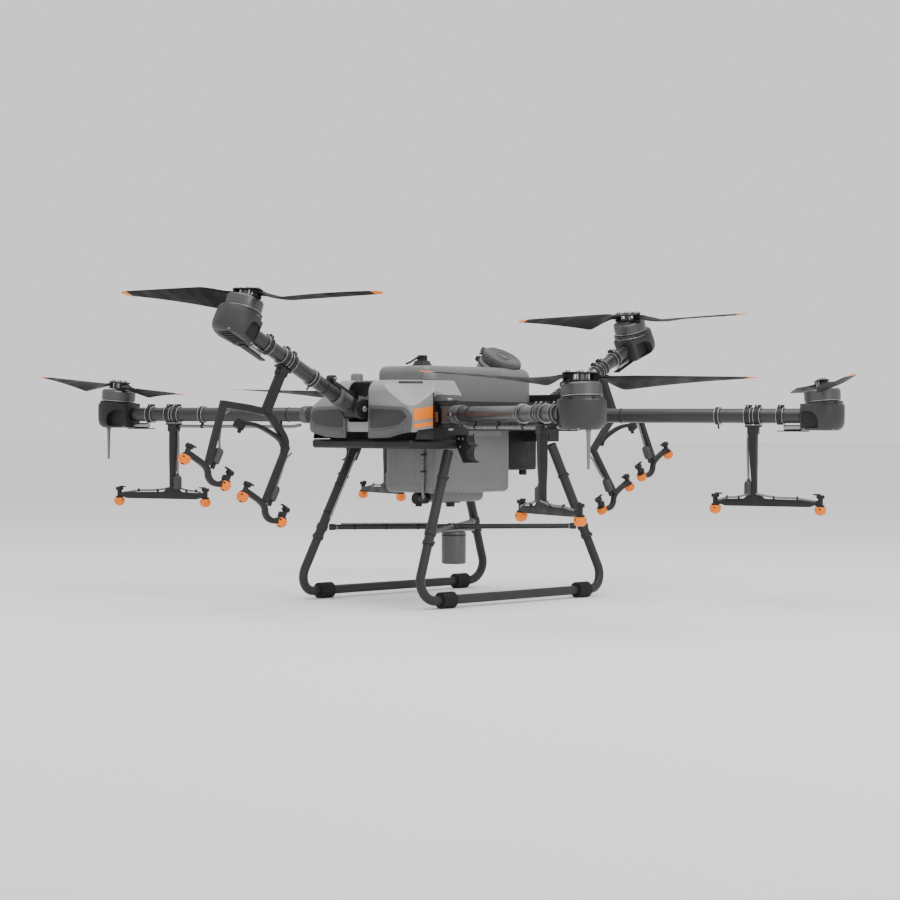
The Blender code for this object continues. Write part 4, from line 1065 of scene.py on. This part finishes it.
def cover_patch(bm, outline, look, out=0.002, deep=-0.0012, bevel=0.0007):
    """A flat panel bent onto the nose cover's wall. The outline is in (run, height)."""
    made = bmesh.new()
    plate(made, outline, deep, out, bevel)
    steps = 24
    for i in range(steps + 1):
        for side in (-1, 1):
            cut = side * (COVER_HALF - COVER_ROUND + COVER_ROUND * math.pi / 2 * i / steps)
            geometry = made.verts[:] + made.edges[:] + made.faces[:]
            bmesh.ops.bisect_plane(made, geom=geometry, plane_co=(cut, 0, 0), plane_no=(1, 0, 0), dist=1e-6)
    for vertex in made.verts:
        vertex.co = on_cover(vertex.co.x, vertex.co.y, vertex.co.z)
    bmesh.ops.recalc_face_normals(made, faces=made.faces)
    merge(bm, made, IDENTITY, look)


def cover_facets(side, depth):
    """Cutters for the slanting planes of the cover's front corner and rear shoulder, sunk by a depth."""
    cutters = []
    for point, normal in (((side * 0.197, -0.372, 0.566), (side * 0.45, -0.45, 0.77)),
                          ((side * 0.190, -0.300, COVER_HIGH), (side * 0.79, 0.153, 0.592))):
        made = bmesh.new()
        block(made, (-0.200, -0.200, -depth), (0.200, 0.200, 0.100), 0, basis(point, (0, 1, 0), normal))
        cutters.append(made)
    return cutters


def cover_cutter(low, high, bevel=0.0, segments=2):
    made = bmesh.new()
    block(made, low, high, bevel, segments=segments)
    return made


def nose_cover():
    wall = 0.003
    outer, inner = bmesh.new(), bmesh.new()
    block(outer, (-COVER_HALF, -COVER_FRONT, COVER_LOW), (COVER_HALF, -COVER_BACK, COVER_HIGH), COVER_ROUND,
          segments=9)
    block(inner, (-COVER_HALF + wall, -COVER_FRONT + wall, COVER_LOW - 0.05),
          (COVER_HALF - wall, -COVER_BACK + 0.05, COVER_HIGH - wall), 0.032, segments=6)
    hollow = carve(inner, [*cover_facets(-1, wall), *cover_facets(1, wall)])
    cuts = [
        *cover_facets(-1, 0),
        *cover_facets(1, 0),
        hollow,
        cover_cutter((-0.300, -0.500, COVER_LOW - 0.06), (0.300, 0, COVER_LOW + 0.001)),
        cover_cutter((-0.300, -COVER_BACK - 0.036, COVER_LOW - 0.05), (0.300, 0.001, COVER_HIGH + 0.021)),
        cover_cutter((-0.042, -0.500, 0.515), (0.042, -0.345, COVER_HIGH + 0.022), 0.008, 3),
        cover_cutter((-TANK_HALF - 0.004, -TANK_FRONT - 0.004, 0.600),
                     (TANK_HALF + 0.004, 0.002, COVER_HIGH + 0.023),
                     0.010, 3),
    ]
    for side in (-1, 1):
        low, high = sorted((side * 0.190, side * 0.230))
        cuts.append(cover_cutter((low, -WINDOW_FRONT, COVER_LOW - 0.021), (high, -0.099, 0.592), 0.012, 4))
    bm = carve(outer, cuts)
    for face in bm.faces:
        face.material_index = 0
    piece("nose_cover", bm, "frame", ("shell",), stands_for=["nose_cover"])
    nose_trim()
    nose_labels()

NOSE_PANELS = (  # outline as (run, height), corner, look, thickness, bevel
    (((0.046, 0.562), (0.190, 0.556), (0.208, 0.534), (0.205, 0.488), (0.128, 0.4715), (0.046, 0.4695)),
     0.006, 0, 0.0070, 0.0030),
    (((0.056, 0.553), (0.182, 0.548), (0.196, 0.530), (0.170, 0.508), (0.110, 0.500), (0.056, 0.498)),
     0.005, 4, 0.0086, 0.0016),
    (((0.056, 0.492), (0.112, 0.494), (0.172, 0.502), (0.198, 0.522), (0.197, 0.492), (0.126, 0.477),
      (0.056, 0.4755)),
     0.004, 0, 0.0100, 0.0028),
)


def nose_trim():
    """The grey panels either side of the nose arm, the dark skirts, window edges and top slots."""
    bm = bmesh.new()
    flank = COVER_HALF - COVER_ROUND + COVER_ROUND * math.pi / 2
    window = flank + COVER_FRONT - COVER_ROUND - WINDOW_FRONT
    strips = (
        ((0.216, 0.4675), (window - 0.001, 0.4675), (window - 0.001, 0.4985), (0.224, 0.4925)),
        ((window - 0.004, 0.4995), (window, 0.4995), (window, 0.5965), (window - 0.004, 0.5965)),
    )
    for side in (-1, 1):
        for points, corner, look, out, bevel in NOSE_PANELS:
            outline = [(side * run, height) for run, height in points]
            outline = outline if side > 0 else list(reversed(outline))
            cover_patch(bm, rounded(outline, corner, 3), look, out, bevel=bevel)
        for look, points in enumerate(strips, 1):
            outline = [(side * run, height) for run, height in points]
            cover_patch(bm, outline if side > 0 else list(reversed(outline)), look, 0.0014, bevel=0.0004)
        inner, outer = sorted((side * 0.0385, side * 0.0425))
        block(bm, (inner, -0.3870, 0.5165), (outer, -0.350, 0.605), 0.001, look=2)
        slot = basis((side * 0.144, -0.322, 0.6262), (side, 1, 0), (side * 0.45, -0.45, 0.77))
        block(bm, (-0.034, -0.0045, -0.001), (0.034, 0.0045, 0.0012), 0.0006, slot, 2)
    piece("nose_cover_trim", bm, "frame", ("panel", "dark", "black", "steel", "housing"))


def nose_labels():
    """An orange block, a thin stripe and an orange band on each flank of the nose: no lettering."""
    bm = bmesh.new()
    for side in (-1, 1):
        for low, high, look in ((0.5187, 0.5506, 0), (0.5122, 0.5145, 1), (0.4978, 0.5090, 0)):
            outline = [(0.212, low), (0.281, low + 0.009), (0.281, high + 0.009), (0.212, high)]
            outline = [(side * run, height) for run, height in outline]
            cover_patch(bm, outline if side > 0 else list(reversed(outline)), look, 0.0012, -0.001, 0.0003)
    piece("nose_labels", bm, "frame", ("label", "stripe"))


def gnss_antenna(side, name):
    bm = bmesh.new()
    turned(bm, [(0, 0), (0.0190, 0), (0.0190, 0.0020), (0.0182, 0.0028), (0.0180, 0.017), (0.0160, 0.0212),
                (0.0115, 0.0228),
                (0, 0.0232)], Matrix.Translation((side * 0.150, -0.252, COVER_HIGH + 0.0004)), 0, 44)
    ring(bm, (side * 0.150, -0.252, COVER_HIGH), (side * 0.150, -0.252, COVER_HIGH + 0.0022), 0.018, 0.0215, 1,
         sides=40)
    piece(f"gnss_antenna_{name}", bm, "frame", ("stub", "dark"),
          stands_for=[f"gnss_antenna_{name}"])


def melt(bm, voxel, rounds):
    """Fuses overlapping closed shapes and softens their joins, as a blow moulding is."""
    mesh = bpy.data.meshes.new("part")
    bm.to_mesh(mesh)
    bm.free()
    holder = bpy.data.objects.new("part", mesh)
    bpy.context.scene.collection.objects.link(holder)
    remesh = holder.modifiers.new("fuse", "REMESH")
    remesh.mode, remesh.voxel_size = "VOXEL", voxel
    smooth = holder.modifiers.new("soften", "SMOOTH")
    smooth.factor, smooth.iterations = 0.5, rounds
    made = bmesh.new()
    evaluated = holder.evaluated_get(bpy.context.evaluated_depsgraph_get())
    made.from_mesh(evaluated.to_mesh())
    evaluated.to_mesh_clear()
    bpy.data.objects.remove(holder)
    bpy.data.meshes.remove(mesh)
    return made


def tank():
    bm = bmesh.new()
    half = TANK_HALF
    block(bm, (-half, -TANK_FRONT, TRAY_HIGH + 0.002), (half, 0.110, TANK_TOP), 0.022, segments=6)
    block(bm, (-half, -0.050, 0.515), (half, TANK_BACK, TANK_TOP), 0.030, segments=6)
    block(bm, (-0.100, -0.188, 0.312), (0.100, 0.138, 0.560), 0.016, segments=6)
    block(bm, (-0.050, -0.115, 0.283), (0.050, 0.085, 0.400), 0.020, segments=5)
    for side in (-1, 1):
        for y in (-0.128, 0.044, 0.060):
            low, high = sorted((side * 0.0985, side * 0.1012))
            block(bm, (low, y - 0.0045, 0.350), (high, y + 0.0045, 0.520), 0.0012)
    for x in (-0.060, 0.020):
        block(bm, (x - 0.005, -0.1898, 0.350), (x + 0.005, -0.186, 0.520), 0.0012)
    neck = neck_frame()
    turned(bm, [(0, -0.010), (0.0640, -0.010), (0.0630, 0.018), (0.0610, 0.029), (0, 0.029)], neck, 0, 56)
    bm = melt(bm, 0.0026, 3)
    recess = bmesh.new()
    rod(recess, (0, 0, 0.0296), (0, 0, 0.090), 0.0630, place=neck, sides=64)
    bm = carve(bm, [recess])
    for face in bm.faces:
        face.material_index = 0
    piece("tank", bm, "frame", ("tank",), stands_for=["tank"])

    trim = bmesh.new()
    ring(trim, (0, 0, 0.016), (0, 0, 0.020), 0.058, 0.0655, 0, neck, sides=64)
    block(trim, (-0.031, -0.0735, 0.004), (0.031, -0.0590, 0.0190), 0.002, neck, 0)
    pipe(trim, [(0.0645, -0.1925, 0.438), (0.0645, -0.1935, 0.400), (0.0645, -0.1935, 0.345),
                (0.0610, -0.1900, 0.314),
                (0.0480, -0.1760, 0.299), (0.0240, -0.1600, 0.296)], 0.0042, look=1, up=(1, 0, 0))
    for z in (0.420, 0.372):
        block(trim, (0.0575, -0.1985, z), (0.0715, -0.1865, z + 0.005), 0.0012, look=0)
    ring(trim, (0, -0.015, 0.280), (0, -0.015, 0.284), 0.018, 0.030, 0, sides=48)
    rod(trim, (0, -0.015, 0.2835), (0, -0.015, 0.268), 0.013, 0)
    rod(trim, (0.046, -0.173, 0.300), (0.018, -0.155, 0.2955), 0.0095, 0)
    piece("tank_fittings", trim, "frame", ("dark", "hose"))


def neck_frame():
    return (Matrix.Translation((0.014, 0.165, 0.664)) @ Matrix.Rotation(math.radians(30), 4, "Y")
            @ Matrix.Rotation(math.radians(-90), 4, "Z"))


def tank_lid():
    place, radius, low = neck_frame(), 0.061, 0.0305
    bm = bmesh.new()
    turned(bm, [(0, low), (radius - 0.004, low), (radius - 0.002, low + 0.002), (radius - 0.002, low + 0.020),
                (radius - 0.005, low + 0.0265), (0.047, low + 0.0295), (0.043, low + 0.0280),
                (0, low + 0.0290)],
           look=0, sides=72)
    for i in range(36):
        block(bm, (radius - 0.004, -0.0018, low + 0.003), (radius, 0.0018, low + 0.020), 0.0008,
              Matrix.Rotation(2 * math.pi * i / 36, 4, "Z"), 0)
    ring(bm, (0, 0, low + 0.0280), (0, 0, low + 0.0300), 0.018, 0.022, 0, sides=48)
    for x in (-0.022, 0.022):
        block(bm, (x - 0.0065, -radius - 0.0085, low + 0.0035), (x + 0.0065, -radius + 0.012, low + 0.0215),
              0.003,
              look=0)
    rod(bm, (-0.031, -radius - 0.004, low), (0.031, -radius - 0.004, low), 0.0032, 1, sides=20)
    piece("tank_lid", bm, "tank_lid", ("lid", "steel"), place, ["tank_lid"])


def vent_cap():
    z = TANK_TOP + 0.0004
    bm = bmesh.new()
    turned(bm, [(0, 0), (0.0288, 0), (0.0288, 0.0035), (0.0262, 0.0055), (0.0212, 0.0150), (0.0150, 0.0160),
                (0.0145, 0.0175), (0.0145, 0.0285), (0.0125, 0.0315), (0, 0.0318)], look=0, sides=48)
    for i in range(16):
        block(bm, (0.0135, -0.0011, 0.0180), (0.0152, 0.0011, 0.0282), 0.0005,
              Matrix.Rotation(2 * math.pi * i / 16, 4, "Z"), 0)
    pipe(bm, [(0.010, -0.006, 0.0285), (0.0155, -0.020, 0.0280), (0.0165, -0.040, 0.0215),
              (0.015, -0.062, 0.0100),
              (0.013, -0.078, 0.0045)], 0.0028, look=1, up=(1, 0, 0))
    piece("vent_cap", bm, "frame", ("dark", "black"), Matrix.Translation((0, -0.134, z)),
          ["vent_cap"])


def battery():
    half, front, back, low, high = 0.085, 0.1395, 0.270, 0.375, 0.503
    bm = bmesh.new()
    block(bm, (-half, front, low), (half, back, high), 0.007, segments=3)
    for side in (-1, 1):
        low_x, high_x = sorted((side * (half - 0.001), side * (half + 0.0012)))
        block(bm, (low_x, front + 0.006, low + 0.012), (high_x, back - 0.032, high - 0.012), 0.001, look=0)
    block(bm, (-0.050, back - 0.002, 0.440), (0.050, back + 0.003, 0.484), 0.002, look=1)
    grip = [(-0.035, back, 0.4225), (-0.033, back + 0.0095, 0.4225), (0, back + 0.0105, 0.4225),
            (0.033, back + 0.0095, 0.4225), (0.035, back, 0.4225)]
    sweep(bm, smooth_path(grip, 5), oblong(0.0065, 0.0028, 0.0015), look=0, up=(0, 0, 1))
    turned(bm, [(0, -0.016), (0.0100, -0.016), (0.0120, -0.013), (0.0120, -0.002), (0.0095, 0), (0, 0)],
           Matrix.Translation((0.045, 0.250, low)), 1, 32)
    piece("battery", bm, "battery", ("black", "dark"), stands_for=["battery"])


def arm_clip(side, name):
    """The sickle-shaped plate with its two cups, lined with rubber."""
    y, tip, cup, cups = -0.188, side * 0.268, 0.0222, (0.4728, 0.428)
    upright = Matrix(((1, 0, 0, 0), (0, 0, -1, y), (0, 1, 0, 0), (0, 0, 0, 1)))
    points = [(0.2054, 0.480)]
    for centre in cups:
        for i in range(13):
            angle = math.radians(90 + 15 * i)
            x, z = 0.268 + cup * math.cos(angle), centre + cup * math.sin(angle)
            if z < 0.4795:
                points.append((min(x, 0.268), z))
    points += [(0.268, 0.4025), (0.232, 0.402), (0.2054, 0.449)]
    bm = bmesh.new()
    plate(bm, [(side * x, z) for x, z in points], -0.015, 0.015, 0.0012, upright, 0)
    for z in cups:
        for edge in (-0.014, 0.014):
            arc = [(tip + side * (cup + 0.0006) * math.cos(math.radians(a)), y + edge,
                    z + (cup + 0.0006) * math.sin(math.radians(a)))
                   for a in range(150, 216, 8)]
            sweep(bm, arc, oblong(0.0015, 0.0012, 0.0005, 1), look=1, up=(0, 1, 0))
    for x, z in ((0.216, 0.469), (0.232, 0.469), (0.222, 0.447)):
        screw(bm, (side * x, y - 0.0148, z), (0, -1, 0), 0.0032, look=2)
    piece(f"arm_clip_{name}", bm, "frame", ("black", "rubber", "steel"),
          stands_for=[f"arm_clip_{name}"])


def radar():
    bm = bmesh.new()
    turned(bm, [(0, 0.100), (0.0320, 0.100), (0.0355, 0.1025), (0.0360, 0.106), (0.0360, 0.1910),
                (0.0345, 0.1945),
                (0, 0.1945)], look=0, sides=64)
    ring(bm, (0, 0, 0.1825), (0, 0, 0.1865), 0.034, 0.0366, 1, sides=64, chamfer=0.0004)
    for y in (-0.045, 0.050):
        screw(bm, (0, y, 0.2004), (0, 0, 1), 0.0036, look=2)
    piece("radar", bm, "frame", ("radar", "dark", "steel"), stands_for=["radar"])


def chassis_details():
    """Screws, clamps and looms on the rails and the arm brackets."""
    bm = bmesh.new()
    for side in (-1, 1):
        for y in (-0.02, 0.14):
            screw(bm, (side * 0.1948, y, 0.548), (side, 0, 0), 0.0034, look=1)
        for y in (0.03, 0.20):
            low, high = sorted((side * 0.194, side * 0.1975))
            block(bm, (low, y, 0.503), (high, y + 0.050, 0.530), 0.0012, look=0)
    for x in (-0.15, -0.075, 0.075, 0.15):
        screw(bm, (x, 0.3198, 0.585), (0, 1, 0), 0.0034, look=1)
    loom = [(0.120, -0.118, 0.500), (0.128, -0.060, 0.522), (0.126, 0.020, 0.530), (0.130, 0.110, 0.520),
            (0.126, 0.200, 0.512), (0.120, 0.272, 0.520)]
    for side in (-1, 1):
        pipe(bm, [(side * x, y, z) for x, y, z in loom], 0.0062, look=0)
        pipe(bm, [(side * (x + 0.014), y, z - 0.012) for x, y, z in loom], 0.0045, look=2)
    for number in range(1, 7):
        place = basis(joint_place(f"arm_{number}_fold"), (0, 0, 1) if number in (1, 4) else
                      arm_frame(number).to_3x3() @ Vector((1, 0, 0)), JOINTS[f"arm_{number}_fold"]["axis"])
        for side in (-1, 1):
            ring(bm, (0, 0, side * 0.0368), (0, 0, side * 0.0385), 0.009, 0.0245, 0, place, sides=40,
                 chamfer=0.0005)
            screw(bm, (0, 0, side * 0.0366), (0, 0, side), 0.0085, place, 1)
        if number in (2, 3):
            block(bm, (-0.050, -0.0345, -0.020), (-0.012, -0.0305, 0.008), 0.002, place, 3)
    piece("chassis_details", bm, "frame", ("black", "steel", "mid", "rust"))


# Everything, in order


# Housings 2 and 6 take the darker plastic as painted shade: all six housings are one grey, and these two are
# darkened to copy the shade on them.
HOUSING_LOOKS_SHADE_PAINTED = {1: "housing", 2: "dark", 3: "housing", 4: "housing", 5: "housing", 6: "dark"}

set_camera()
set_studio()
for arm_number in range(1, 7):
    arm(arm_number)
    if arm_number in (2, 3):
        arm_hose(arm_number)
    motor_housing(arm_number)
    (side_boom if arm_number in SIDE_ARMS else double_boom)(arm_number)
    motor_bell(arm_number)
    for blade_letter in "ab":
        blade(arm_number, blade_letter)
for leg_side in (-1, 1):
    skid(leg_side)
    for leg_end in (-1, 1):
        upper_leg(leg_side, leg_end)
brace("brace_long", (-1, -1), (1, 1))
brace("brace_front_right", None, (1, -1))
brace("brace_rear_left", None, (-1, 1))
nose_cover()
for clip_side, clip_name in ((-1, "left"), (1, "right")):
    gnss_antenna(clip_side, clip_name)
    arm_clip(clip_side, clip_name)
tank()
tank_lid()
vent_cap()
battery()
radar()
chassis_details()
for kept, look_name in (("chassis", "dark"), ("flight_controller", "black"), ("pump", "black"),
                        ("radar_bracket", "shell")):
    dress(kept, look_name)
